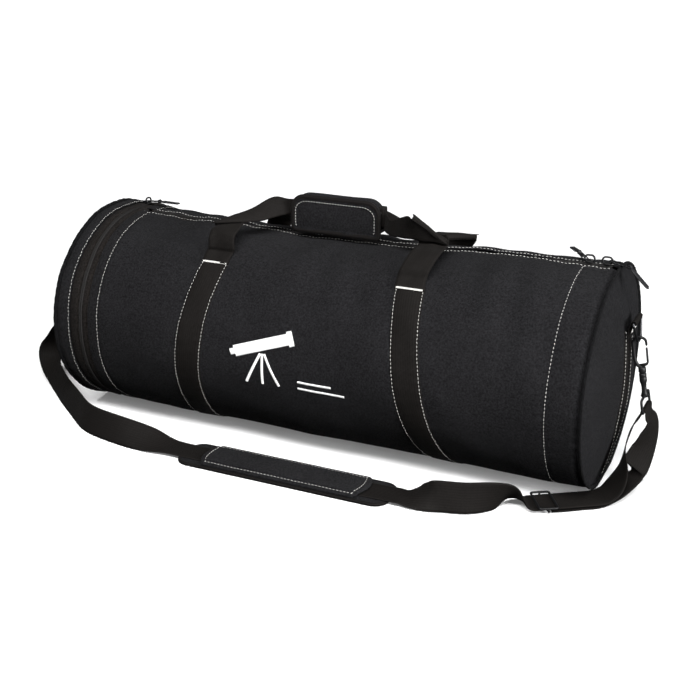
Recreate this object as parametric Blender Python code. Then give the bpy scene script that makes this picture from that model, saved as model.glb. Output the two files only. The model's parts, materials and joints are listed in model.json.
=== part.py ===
"""Padded telescope carry case, lying on its side. Metres, +X along the bag, -Y its front, +Z up."""

import bpy
import bmesh
from math import cos, sin, pi, radians, asin, sqrt
from mathutils import Matrix, Vector

# Bag section: an oval with a flat underside, the same along the whole bag
HALF_WIDTH = 0.2017
HALF_HEIGHT = 0.1836
CENTRE_Z = 0.1796
SIDES = 48
GAP = 0.0003

# Layers, counted inwards from the outer surface
FABRIC = 0.0020
FOAM = 0.0080
LINING = 0.0010
TAPE = 0.0008
FOAM_OFF = FABRIC + GAP
LINING_OFF = FOAM_OFF + FOAM + GAP
TAPE_OFF = FABRIC + 2 * GAP
RECESS = 0.0024

# Places along the bag
END_X = 0.4742
SHELL_LEFT = -0.3862
SHELL_RIGHT = 0.4685
FLAP_EDGE = -0.4080
ZIP_CENTRE = -0.4239
LID_BAND = -0.4475
PADDING_RIGHT = 0.4600
MAIN_ZIP = (-0.3945, 0.4660)
SLOT = 0.0070
PADDING_SLOT = 0.0180
DOME = 0.0260

# Webbing
WEB = 0.0500
WEB_THICK = 0.0018
COLUMNS = 4
GIRTH_X = 0.2020
GIRTH_LEAN = {-1: 0.101, 1: 0.172}
TACK_ANGLE = 37.5

# Hardware
WIRE = 0.0020
RING_TOP = Vector((0.5110, 0.0, 0.2790))
HANG_TILT = {-1: 25.0, 1: 10.4}
RING_DROP = 0.0340
HOOK_BASE = 0.0830
EYE_BAR = 0.1500
SLIDER_TOP = CENTRE_Z + HALF_HEIGHT
LINK_END = 0.0025

# Carry handle grip
GRIP_X = (-0.0850, 0.0780)
GRIP_Y = -0.0120
GRIP_Z = (0.3740, 0.4285)

# Shoulder pad and adjuster on the strap
PAD_Y = -0.2280
PAD_X = (-0.1970, 0.1930)
SLEEVE_X = (-0.1530, 0.1500)
PAD_WIDE = 0.0800
STRAP_Z = 0.0073
ADJUSTER = Vector((0.4200, -0.1500, 0.0))
ADJUSTER_TURN = 32.0

for old in list(bpy.data.objects):
    bpy.data.objects.remove(old, do_unlink=True)

PARTS = bpy.data.collections.new("telescope_carry_case")
CUTTERS = bpy.data.collections.new("cutters")
for group in (PARTS, CUTTERS):
    bpy.context.scene.collection.children.link(group)
CUTTERS.hide_render = True

FINISHES = {
    "fabric": ((0.018, 0.018, 0.021), 0.62, 0.0),
    "webbing": ((0.024, 0.022, 0.021), 0.70, 0.0),
    "foam": ((0.10, 0.10, 0.11), 0.90, 0.0),
    "lining": ((0.09, 0.09, 0.10), 0.75, 0.0),
    "zip_tape": ((0.030, 0.028, 0.026), 0.75, 0.0),
    "zip_chain": ((0.022, 0.021, 0.021), 0.45, 0.0),
    "piping": ((0.016, 0.016, 0.018), 0.60, 0.0),
    "plated_metal": ((0.42, 0.42, 0.43), 0.32, 1.0),
    "dark_metal": ((0.035, 0.035, 0.038), 0.35, 1.0),
    "moulded_rubber": ((0.030, 0.030, 0.032), 0.55, 0.0),
}


def finish(obj, slot):
    """Gives the object its own material in one of the finishes."""
    colour, rough, metal = FINISHES[slot]
    mat = bpy.data.materials.new(obj.name + "_" + slot)
    mat.use_nodes = True
    shader = mat.node_tree.nodes["Principled BSDF"]
    shader.inputs["Base Color"].default_value = (*colour, 1.0)
    shader.inputs["Roughness"].default_value = rough
    shader.inputs["Metallic"].default_value = metal
    obj.data.materials.append(mat)
    return obj


def pivot(obj, point):
    """Moves the object's origin to a point on its joint's axis, leaving its shape where it is."""
    obj.data.transform(Matrix.Translation(-Vector(point)))
    obj.location = point
    return obj


def from_bmesh(name, bm, slot, group=PARTS):
    """Makes the object, with its faces turned outwards."""
    bm.normal_update()
    bmesh.ops.recalc_face_normals(bm, faces=bm.faces)
    if bm.calc_volume(signed=True) < 0:
        bmesh.ops.reverse_faces(bm, faces=bm.faces)
    mesh = bpy.data.meshes.new(name)
    bm.to_mesh(mesh)
    bm.free()
    obj = bpy.data.objects.new(name, mesh)
    group.objects.link(obj)
    return finish(obj, slot)


def skin(bm, loops):
    """Quads between closed loops of corners, all with the same number of corners."""
    rows = [[bm.verts.new(p) for p in loop] for loop in loops]
    count = len(rows[0])
    for a, b in zip(rows, rows[1:]):
        for i in range(count):
            j = (i + 1) % count
            bm.faces.new((a[i], a[j], b[j], b[i]))
    return rows


# ---------------------------------------------------------------- bag section


def edge_point(angle, off=0.0, low=0.0):
    """(y, z) on the section at an angle from the top towards the front, an offset inside the surface."""
    y = -(HALF_WIDTH - off) * sin(angle)
    z = CENTRE_Z + (HALF_HEIGHT - off) * cos(angle)
    return y, max(z, low + off)


def all_round():
    return [2 * pi * i / SIDES for i in range(SIDES)]


def slotted(half):
    """Angles round the section that leave an opening of that half width at the top."""
    first = asin(half / HALF_WIDTH)
    step = 2 * pi / SIDES
    inner = [step * i for i in range(1, SIDES) if first + 0.02 < step * i < 2 * pi - first - 0.02]
    return [first] + inner + [2 * pi - first]


def wall(name, slot, xs, off, thick, angles, lows=None):
    """A wall of the bag between two offsets, along xs: a closed ring, or open where its angles leave a gap."""
    lows = lows or [0.0] * len(xs)
    ring = len(angles) == SIDES
    bm = bmesh.new()
    outer, inner = [], []
    for x, low in zip(xs, lows):
        outer.append([bm.verts.new((x, *edge_point(a, off, low))) for a in angles])
        inner.append([bm.verts.new((x, *edge_point(a, off + thick, low))) for a in angles])
    count = len(angles)
    for i in range(count if ring else count - 1):
        j = (i + 1) % count
        for k in range(len(xs) - 1):
            bm.faces.new((outer[k][i], outer[k][j], outer[k + 1][j], outer[k + 1][i]))
            bm.faces.new((inner[k][i], inner[k + 1][i], inner[k + 1][j], inner[k][j]))
        for k in (0, -1):
            bm.faces.new((outer[k][i], inner[k][i], inner[k][j], outer[k][j]))
    if not ring:
        for i in (0, -1):
            for k in range(len(xs) - 1):
                bm.faces.new((outer[k][i], outer[k + 1][i], inner[k + 1][i], inner[k][i]))
    return from_bmesh(name, bm, slot)


def dome_x(share):
    """How far an end panel stands out at a share of the way from its middle to its rim."""
    return DOME * (1 - share * share)


def end_disc(name, slot, side, rim_x, thick, off, flat_back=False):
    """A disc that closes an end of the bag, bulging outwards."""
    shares = (1.0, 0.86, 0.66, 0.40, 0.14)
    bm = bmesh.new()

    def row(share, x):
        points = []
        for a in all_round():
            y, z = edge_point(a, off, 0.0020)
            points.append(bm.verts.new((side * x, y * share, CENTRE_Z + (z - CENTRE_Z) * share)))
        return points

    def face(rows):
        for a, b in zip(rows, rows[1:]):
            for i in range(SIDES):
                j = (i + 1) % SIDES
                bm.faces.new((a[i], a[j], b[j], b[i]))
        bm.faces.new(rows[-1])

    front = [row(s, rim_x + thick + dome_x(s)) for s in shares]
    face(front)
    if flat_back:
        back = [row(1.0, rim_x)]
        bm.faces.new(back[0])
    else:
        back = [row(s, rim_x + dome_x(s)) for s in shares]
        face(back)
    for i in range(SIDES):
        j = (i + 1) % SIDES
        bm.faces.new((front[0][i], back[0][i], back[0][j], front[0][j]))
    return from_bmesh(name, bm, slot)


def rod(name, points, radius, slot, closed=False, group=PARTS):
    """A round bar along straight pieces between points."""
    curve = bpy.data.curves.new(name, "CURVE")
    curve.dimensions = "3D"
    curve.bevel_depth = radius
    curve.bevel_resolution = 2
    curve.use_fill_caps = not closed
    spline = curve.splines.new("POLY")
    spline.points.add(len(points) - 1)
    for item, point in zip(spline.points, points):
        item.co = (*point, 1.0)
    spline.use_cyclic_u = closed
    obj = bpy.data.objects.new(name, curve)
    group.objects.link(obj)
    return finish(obj, slot)


def as_mesh(obj):
    """The same object with its curve turned into a mesh, so that it can take a Boolean."""
    mesh = bpy.data.meshes.new_from_object(obj)
    bm = bmesh.new()
    bm.from_mesh(mesh)
    bmesh.ops.remove_doubles(bm, verts=bm.verts, dist=0.00001)
    bm.to_mesh(mesh)
    bm.free()
    name, place = obj.name, obj.matrix_world.copy()
    groups = obj.users_collection
    bpy.data.objects.remove(obj, do_unlink=True)
    new = bpy.data.objects.new(name, mesh)
    for group in groups:
        group.objects.link(new)
    new.matrix_world = place
    return new


def boolean(obj, other, operation):
    other.hide_render = True
    other.display_type = "WIRE"
    mod = obj.modifiers.new(operation.lower(), "BOOLEAN")
    mod.operation = operation
    mod.object = other
    mod.solver = "EXACT"
    return obj


def cylinder(name, radius, start, end, slot, corners=16, group=PARTS):
    """A straight round bar from one point to another."""
    start, end = Vector(start), Vector(end)
    bm = bmesh.new()
    bmesh.ops.create_cone(
        bm, cap_ends=True, segments=corners, radius1=radius, radius2=radius, depth=(end - start).length
    )
    turn = (end - start).to_track_quat("Z", "Y").to_matrix().to_4x4()
    bm.transform(Matrix.Translation((start + end) / 2) @ turn)
    return from_bmesh(name, bm, slot, group=group)


def block(name, low, high, slot, group=PARTS):
    bm = bmesh.new()
    bmesh.ops.create_cube(bm, size=1.0)
    low, high = Vector(low), Vector(high)
    bm.transform(Matrix.Translation((low + high) / 2) @ Matrix.Diagonal((*(high - low), 1.0)))
    return from_bmesh(name, bm, slot, group=group)


def plate(name, outline, thick, place, slot, holes=()):
    """A flat plate from a 2D outline in local XY, centred on its thickness and put in place by a matrix."""
    curve = bpy.data.curves.new(name, "CURVE")
    curve.dimensions = "2D"
    curve.fill_mode = "BOTH"
    curve.extrude = thick / 2
    for ring in (outline, *holes):
        spline = curve.splines.new("POLY")
        spline.points.add(len(ring) - 1)
        for item, (x, y) in zip(spline.points, ring):
            item.co = (x, y, 0.0, 1.0)
        spline.use_cyclic_u = True
    obj = bpy.data.objects.new(name, curve)
    PARTS.objects.link(obj)
    obj.matrix_world = place
    return finish(obj, slot)


def rounded(x0, x1, y0, y1, radius, steps=4):
    """Corners of a rectangle with rounded corners."""
    corners = ((x1, y1, 0), (x0, y1, 90), (x0, y0, 180), (x1, y0, 270))
    points = []
    for x, y, start in corners:
        cx = x - radius if x == x1 else x + radius
        cy = y - radius if y == y1 else y + radius
        for i in range(steps + 1):
            a = radians(start + 90 * i / steps)
            points.append((cx + radius * cos(a), cy + radius * sin(a)))
    return points


# ---------------------------------------------------------------- webbing


def smooth_path(stations, per_step):
    """More stations on one smooth curve through the given rows of numbers."""
    rows = [Vector(s) for s in stations]
    rows = [rows[0] * 2 - rows[1]] + rows + [rows[-1] * 2 - rows[-2]]
    out = []
    for a, b, c, d in zip(rows, rows[1:], rows[2:], rows[3:]):
        for i in range(per_step):
            t = i / per_step
            out.append(
                0.5
                * (2 * b + (c - a) * t + (2 * a - 5 * b + 4 * c - d) * t**2 + (3 * b - a - 3 * c + d) * t**3)
            )
    out.append(rows[-2])
    return out


def ribbon(name, centres, sideways, widths, thick, slot):
    """A flat strap: its centre line, the direction of its width at each point, and its widths."""
    bm = bmesh.new()
    loops = []
    for i, centre in enumerate(centres):
        ahead = centres[min(i + 1, len(centres) - 1)] - centres[max(i - 1, 0)]
        ahead.normalize()
        side = sideways[i] - ahead * sideways[i].dot(ahead)
        side.normalize()
        face = ahead.cross(side) * (thick / 2)
        across = [side * (widths[i] * (k / COLUMNS - 0.5)) for k in range(COLUMNS + 1)]
        loops.append([centre + s - face for s in across] + [centre + s + face for s in reversed(across)])
    rows = skin(bm, loops)
    bm.faces.new(rows[0])
    bm.faces.new(rows[-1])
    return from_bmesh(name, bm, slot)


def floor_strap(name, stations, per_step=3):
    """A strap from rows of x, y, z and the angle in degrees at which its back edge is raised from flat."""
    rows = smooth_path(stations, per_step)
    centres = [Vector(r[:3]) for r in (tuple(r) for r in rows)]
    sideways = []
    for i, row in enumerate(rows):
        ahead = centres[min(i + 1, len(rows) - 1)] - centres[max(i - 1, 0)]
        level = Vector((-ahead.y, ahead.x, 0)).normalized()
        angle = radians(row[3])
        sideways.append(level * cos(angle) + Vector((0, 0, sin(angle))))
    return ribbon(name, centres, sideways, [WEB] * len(rows), WEB_THICK, "webbing")


def free_strap(name, stations, per_step=3, thick=WEB_THICK):
    """A strap from rows of x, y, z, then the x, y, z of its width direction, then its width."""
    rows = [tuple(r) for r in smooth_path(stations, per_step)]
    centres = [Vector(r[:3]) for r in rows]
    sideways = [Vector(r[3:6]) for r in rows]
    return ribbon(name, centres, sideways, [r[6] for r in rows], thick, "webbing")


# ---------------------------------------------------------------- bag body


def girth_centre(side, angle):
    """X of a girth strip's centre line at an angle from the top; the strips lean together upwards."""
    return side * (GIRTH_X + GIRTH_LEAN[side] * HALF_HEIGHT * (angle - pi / 2))


def recess_range(side):
    """The stretch of the flat underside that a girth strip presses in."""
    near = abs(girth_centre(side, radians(165))) - WEB / 2 - 0.001
    far = abs(girth_centre(side, pi)) + WEB / 2 + 0.001
    return sorted((side * near, side * far))


def build_walls():
    left, right = recess_range(-1), recess_range(1)
    step = 0.001
    xs, lows = [SHELL_LEFT], [0.0]
    for low_x, high_x in (left, right):
        xs += [low_x - step, low_x, high_x, high_x + step]
        lows += [0.0, RECESS, RECESS, 0.0]
    xs.append(SHELL_RIGHT)
    lows.append(0.0)
    wall("outer_shell", "fabric", xs, 0.0, FABRIC, slotted(SLOT), lows)

    padding = (SHELL_LEFT + 0.002, PADDING_RIGHT)
    pressed = [RECESS, RECESS]
    wall("foam_padding", "foam", padding, FOAM_OFF, FOAM, slotted(PADDING_SLOT), pressed)
    wall("inner_lining", "lining", padding, LINING_OFF, LINING, slotted(PADDING_SLOT), pressed)
    wall("storm_flap", "fabric", (FLAP_EDGE, SHELL_LEFT - GAP), 0.0, FABRIC, slotted(SLOT))
    wall("right_rim_band", "fabric", (SHELL_RIGHT + GAP, END_X), 0.0, FABRIC, all_round())


def arc_angles(first, last):
    """Angles of two edges that lie along the top zip, in metres from the middle."""
    edges = [asin(y / HALF_WIDTH) for y in (first, last)]
    return [edges[0] + (edges[1] - edges[0]) * i / 2 for i in range(3)]


def build_main_zip():
    wall("main_zip_tape_front", "zip_tape", MAIN_ZIP, TAPE_OFF + GAP, TAPE, arc_angles(0.0030, 0.0170))
    wall("main_zip_tape_rear", "zip_tape", MAIN_ZIP, TAPE_OFF + GAP, TAPE, arc_angles(-0.0170, -0.0030))
    wall("main_zip_chain", "zip_chain", MAIN_ZIP, 0.0007, 0.0032, arc_angles(-0.0026, 0.0026))


def zip_round():
    """Angles round an end, open across the uncut hinge at the bottom."""
    step = 2 * pi / SIDES
    return [step * i for i in range(-20, 21)]


def build_end_zip():
    half, tooth = GAP / 2, 0.0024
    centre = ZIP_CENTRE
    case_side, lid_side = (centre + half, centre + half + tooth), (centre - half - tooth, centre - half)
    wall("end_zip_chain_case", "zip_chain", case_side, 0.0010, 0.0030, zip_round())
    wall("end_zip_chain_lid", "zip_chain", lid_side, 0.0010, 0.0030, zip_round())
    case_tape = (centre + half + tooth + GAP, -0.3950)
    lid_tape = (LID_BAND - 0.0030, centre - half - tooth - GAP)
    wall("end_zip_tape_case", "zip_tape", case_tape, TAPE_OFF, TAPE, all_round())
    wall("end_zip_tape_lid", "zip_tape", lid_tape, TAPE_OFF, TAPE, all_round())
    wall("lid_band", "fabric", (-END_X, LID_BAND), 0.0, FABRIC, all_round())


def build_end(side):
    """An end of the bag: bulged panel, foam behind it, piping, and the webbing that holds the ring."""
    tag = {-1: "lid", 1: "right"}[side]
    end_disc(tag + "_panel", "fabric", side, END_X - 0.0002, FABRIC, 0.0060)
    end_disc(tag + "_foam", "foam", side, 0.4640, 0.0090, 0.0050, flat_back=True)
    cord = 0.0035
    centre_x = side * (END_X + 0.0038)
    round_edge = []
    for a in all_round():
        y, z = edge_point(a, 0.0020)
        round_edge.append((centre_x, y, max(z, cord + 0.0001)))
    rod(tag + "_piping", round_edge, cord, "piping", closed=True)

    top, bottom, steps = 0.2620, 0.0120, 8
    centres = []
    for i in range(steps + 1):
        z = top + (bottom - top) * i / steps
        share = abs(z - CENTRE_Z) / HALF_HEIGHT
        x = END_X - 0.0002 + FABRIC + dome_x(share) + 0.0007 + WEB_THICK / 2
        centres.append(Vector((side * x, 0, z)))
    count = len(centres)
    ribbon(tag + "_face_strip", centres, [Vector((0, 1, 0))] * count, [0.046] * count, WEB_THICK, "webbing")
    build_ring_loop(tag + "_ring_loop", side)


def build_ring_loop(name, side):
    """Webbing folded over the ring's top bar, with both plies coming down onto the face strip."""
    outer, inner = [], []
    bore, skin_radius = WIRE + 0.0005, WIRE + 0.0005 + 2 * WEB_THICK
    bottom = -0.0150
    for i in range(9):
        a = pi * i / 8
        outer.append((skin_radius * cos(a), skin_radius * sin(a)))
        inner.append((bore * cos(a), bore * sin(a)))
    outer += [(-skin_radius, -0.0060), (-0.0058, bottom), (-0.0022, bottom), (-0.0020, -0.0100)]
    inner += [(-bore * 0.9, -0.0012), (-bore * 0.5, -0.0024), (bore * 0.5, -0.0024), (bore * 0.9, -0.0012)]
    half = 0.0230
    bm = bmesh.new()

    def row(ring, y):
        return [bm.verts.new((side * (RING_TOP.x + x), y, RING_TOP.z + z)) for x, z in ring]

    a, b, c, d = row(outer, -half), row(outer, half), row(inner, -half), row(inner, half)
    count = len(outer)
    for i in range(count):
        j = (i + 1) % count
        bm.faces.new((a[i], a[j], b[j], b[i]))
        bm.faces.new((c[i], d[i], d[j], c[j]))
        bm.faces.new((a[i], c[i], c[j], a[j]))
        bm.faces.new((b[i], b[j], d[j], d[i]))
    from_bmesh(name, bm, "webbing")


def build_girth_strip(side):
    """Webbing sewn round the underside of the bag, from one handle's foot to the other's."""
    name = {-1: "girth_strip_left", 1: "girth_strip_right"}[side]
    low = RECESS
    bm = bmesh.new()
    loops = []
    step = 2 * pi / SIDES
    first = round(radians(TACK_ANGLE) / step)
    for i in range(first, SIDES - first + 1):
        angle = step * i
        x = girth_centre(side, min(angle, 2 * pi - angle))
        inner, outer = edge_point(angle, -GAP, low), edge_point(angle, -GAP - 0.0021, low)
        loops.append(
            [
                (x - WEB / 2, *inner),
                (x + WEB / 2, *inner),
                (x + WEB / 2, *outer),
                (x - WEB / 2, *outer),
            ]
        )
    rows = skin(bm, loops)
    bm.faces.new(rows[0])
    bm.faces.new(rows[-1])
    from_bmesh(name, bm, "webbing")


# ---------------------------------------------------------------- ring, hook and eye


def hanger(side):
    """Matrix of a hanging set: local X outwards from the bag, Y along the bag's Y, Z up along the set."""
    tilt = radians(HANG_TILT[side])
    down = Vector((side * sin(tilt), 0, -cos(tilt)))
    out = Vector((side * cos(tilt), 0, sin(tilt)))
    top = Vector((side * RING_TOP.x, 0, RING_TOP.z))
    across = Vector((0, side, 0))
    return Matrix.Translation(top) @ Matrix((out, across, -down)).transposed().to_4x4()


def placed(matrix, points):
    return [tuple(matrix @ Vector(p)) for p in points]


def build_hanger(side):
    tag = {-1: "left", 1: "right"}[side]
    matrix = hanger(side)

    half, foot, drop = 0.0265, 0.0110, -RING_DROP
    ring = [(0, -half, 0), (0, half, 0), (0, half + 0.0010, -0.0030), (0, foot + 0.0030, drop + 0.0030)]
    ring += [(0, foot, drop), (0, -foot, drop)]
    ring += [(0, -foot - 0.0030, drop + 0.0030), (0, -half - 0.0010, -0.0030)]
    bent = rod(tag + "_ring", placed(matrix, ring), WIRE, "plated_metal", closed=True)
    pivot(as_mesh(bent), matrix @ Vector())

    bar = 0.0022
    top = drop + WIRE + 0.0004 + bar
    bow = [(-0.0040, 0, -HOOK_BASE + 0.0030), (-0.0100, 0, -0.0740), (-0.0105, 0, -0.0450)]
    reach = 0.0105
    for i in range(7):
        a = pi - pi * i / 6
        bow.append((reach * cos(a), 0, top - 0.0085 + 0.0085 * sin(a)))
    bow.append((reach, 0, -0.0440))
    hook_pivot = matrix @ Vector((0, 0, drop))
    hook = as_mesh(rod(tag + "_hook_body", placed(matrix, bow), bar, "dark_metal"))
    base = cylinder(
        tag + "_hook_base",
        0.0062,
        *placed(matrix, [(0, 0, -HOOK_BASE + 0.0060), (0, 0, -HOOK_BASE - 0.0060)]),
        "dark_metal", group=CUTTERS,
    )
    stem = cylinder(
        tag + "_hook_stem", 0.0020, *placed(matrix, [(0, 0, -HOOK_BASE), (0, 0, -HOOK_BASE - 0.0140)]),
        "dark_metal", corners=12, group=CUTTERS,
    )
    for piece in (base, stem):
        boolean(hook, piece, "UNION")
    pivot(hook, hook_pivot)

    gate = [(0.0100, 0, -0.0730), (reach, 0, -0.0470)]
    bar = rod(tag + "_hook_gate", placed(matrix, gate), 0.0018, "plated_metal")
    pivot(as_mesh(bar), placed(matrix, gate)[0])

    build_eye(tag, matrix)


def build_eye(tag, matrix):
    """The swivelling eye below a hook, with a rectangular loop for the strap."""
    head, low, half = -0.1280, -EYE_BAR, 0.0275
    loop = [(0, -half, head - 0.002), (0, -half + 0.002, head)]
    loop += [(0, half - 0.002, head), (0, half, head - 0.002)]
    loop += [(0, half, low + 0.002), (0, half - 0.002, low), (0, -half + 0.002, low), (0, -half, low + 0.002)]
    eye = as_mesh(rod(tag + "_swivel_eye", placed(matrix, loop), WIRE, "dark_metal", closed=True))
    top = -HOOK_BASE - 0.0063
    barrel = cylinder(
        tag + "_barrel", 0.0060, *placed(matrix, [(0, 0, top), (0, 0, top - 0.0160)]),
        "dark_metal", group=CUTTERS,
    )
    neck = cylinder(
        tag + "_neck", 0.0042, *placed(matrix, [(0, 0, top - 0.0140), (0, 0, head)]),
        "dark_metal", corners=12, group=CUTTERS,
    )
    hole = cylinder(
        tag + "_stem_hole", 0.0025, *placed(matrix, [(0, 0, top + 0.0010), (0, 0, top - 0.0090)]),
        "dark_metal", corners=12, group=CUTTERS,
    )
    for piece in (barrel, neck):
        boolean(eye, piece, "UNION")
    boolean(eye, hole, "DIFFERENCE")
    pivot(eye, matrix @ Vector((0, 0, top)))


# ---------------------------------------------------------------- zip sliders and pulls


def pull_matrix(at, yaw, pitch):
    """Local X along the pull, Z its thickness."""
    turn = Matrix.Rotation(radians(yaw), 4, "Z") @ Matrix.Rotation(radians(-pitch), 4, "Y")
    return Matrix.Translation(at) @ turn


def build_slider(tag, place, leg, yaw, pitch, tab_pitch):
    """A slider that straddles the zip chain, with its arched bridge, metal link and moulded tab."""
    arch_half, wire = 0.0078, 0.0012
    body = block(tag + "_slider", (-0.0060, -0.0048, 0.0), (0.0060, 0.0048, 0.0022), "dark_metal")
    arch = [(-0.0050, 0, 0.0010), (-arch_half, 0, 0.0026), (-arch_half, 0, 0.0072), (-0.0052, 0, 0.0090)]
    arch += [(-x, 0, z) for x, _, z in reversed(arch)]
    bridge = as_mesh(rod(tag + "_bridge", arch, wire, "dark_metal", group=CUTTERS))
    bridge.data.transform(place)
    body.data.transform(place)
    boolean(body, bridge, "UNION")
    pivot(body, place.translation)

    at = place @ Vector((leg * arch_half, 0, 0.0060))
    matrix = pull_matrix(at, yaw, pitch)
    length, wide, thick = 0.0320, 0.0105, 0.0013
    outline = rounded(-0.0045, length, -wide / 2, wide / 2, 0.0025, 2)
    hole = rounded(-0.0030, 0.0060, -0.0034, 0.0034, 0.0015, 2)
    slot = rounded(length - 0.0085, length - LINK_END, -0.0034, 0.0034, 0.0010, 1)
    plate(tag + "_link", outline, thick, matrix, "plated_metal", holes=(hole, slot))

    joint = matrix @ Vector((length - LINK_END / 2, 0, 0))
    build_tab(tag + "_tab", pull_matrix(joint, yaw, tab_pitch))


def build_tab(name, matrix):
    """A moulded tab with an eye round the end bar of its link."""
    thick, start, long, half = 0.0030, 0.0038, 0.0420, 0.0048
    profile = [(start, 0.0012), (0.0100, thick / 2), (long, thick / 2), (long + 0.0020, 0.0)]
    profile += [(long, -thick / 2), (0.0100, -thick / 2), (start, -0.0012)]
    bm = bmesh.new()
    rows = skin(bm, [placed(matrix, [(x, y, z) for x, z in profile]) for y in (-half, half)])
    bm.faces.new(rows[0])
    bm.faces.new(rows[-1])
    tab = from_bmesh(name, bm, "moulded_rubber")

    wide, bore, rim = 0.0026, 0.0021, 0.0036
    ends = placed(matrix, [(0, -wide, 0), (0, wide, 0)])
    long_ends = placed(matrix, [(0, -2 * wide, 0), (0, 2 * wide, 0)])
    eye = cylinder(name + "_eye", rim, *ends, "moulded_rubber", corners=12, group=CUTTERS)
    low, high = (0.0028, -wide, -0.0011), (start + 0.0010, wide, 0.0011)
    neck = block(name + "_neck", low, high, "moulded_rubber", CUTTERS)
    neck.data.transform(matrix)
    hole = cylinder(name + "_hole", bore, *long_ends, "moulded_rubber", corners=12, group=CUTTERS)
    boolean(tab, eye, "UNION")
    boolean(tab, neck, "UNION")
    boolean(tab, hole, "DIFFERENCE")
    pivot(tab, matrix.translation)


def build_sliders():
    for tag, x, leg, yaw, pitch, tab_pitch in (
        ("main_zip_a", 0.4286, -1, 121.0, 1.0, -5.0),
        ("main_zip_b", 0.4570, 1, -14.0, -8.0, -40.0),
    ):
        place = Matrix.Translation((x, 0, SLIDER_TOP - 0.0007 + GAP))
        build_slider(tag, place, leg, yaw, pitch, tab_pitch)

    at_y = 0.0350
    angle = asin(at_y / HALF_WIDTH)
    z = CENTRE_Z + (HALF_HEIGHT - 0.0010) * cos(angle) + GAP + 0.0001
    slope = -at_y / sqrt(HALF_WIDTH**2 - at_y**2) * HALF_HEIGHT / HALF_WIDTH
    along = Vector((0, 1, slope)).normalized()
    up = Vector((0, -slope, 1)).normalized()
    turned = Matrix((along, along.cross(up) * -1, up)).transposed().to_4x4()
    place = Matrix.Translation((ZIP_CENTRE, at_y, z)) @ turned
    build_slider("end_zip", place, -1, 0.0, 4.0, 0.0)


# ---------------------------------------------------------------- carry handles


def build_grip():
    x0, x1 = GRIP_X
    z0, z1 = GRIP_Z
    inset = 0.0015
    thick = 0.0030
    depth = 0.0125
    path = [(-0.0075, z0 + thick / 2), (0.0085, z0 + thick / 2), (depth, z0 + 0.0060), (depth, z1 - 0.0080)]
    path += [(0.0070, z1 - 0.0030), (-0.0030, z1 - 0.0030), (-0.0085, z1 - 0.0070), (-0.0085, z1 - 0.0200)]
    bm = bmesh.new()
    loops = []
    for i, (y, z) in enumerate(path):
        before, after = path[max(i - 1, 0)], path[min(i + 1, len(path) - 1)]
        ahead = Vector((0, after[0] - before[0], after[1] - before[1])).normalized()
        out = Vector((0, ahead.z, -ahead.y)) * (thick / 2)
        centre = Vector((0, GRIP_Y + y, z))
        ends = Vector((x0 + inset, 0, 0)), Vector((x1 - inset, 0, 0))
        first, last = ends
        loops.append([centre - out + first, centre + out + first, centre + out + last, centre - out + last])
    rows = skin(bm, loops)
    bm.faces.new(rows[0])
    bm.faces.new(rows[-1])
    from_bmesh("grip_wrap", bm, "fabric")

    flap_thick = 0.0040
    face_y = GRIP_Y - 0.0145
    radius = 0.0180
    outline = [(x0, z0), (x1, z0)]
    for corner_x, start in ((x1 - radius, 0), (x0 + radius, 90)):
        for i in range(5):
            a = radians(start + 90 * i / 4)
            outline.append((corner_x + radius * cos(a), z1 - radius + radius * sin(a)))
    hinge = Vector((0, face_y, z0))
    upright = Matrix.Translation(hinge) @ Matrix.Rotation(pi / 2, 4, "X")
    plate("grip_flap", [(x, z - z0) for x, z in outline], flap_thick, upright, "fabric")

    middle = (z0 + z1) / 2 - 0.0010
    for name, y in (("handle_core_front", -0.0035), ("handle_core_rear", 0.0035)):
        low = (x0 + 0.0035, GRIP_Y + y - 0.0015, middle - 0.0180)
        high = (x1 + 0.0060, GRIP_Y + y + 0.0015, middle + 0.0180)
        block(name, low, high, "webbing")


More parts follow.
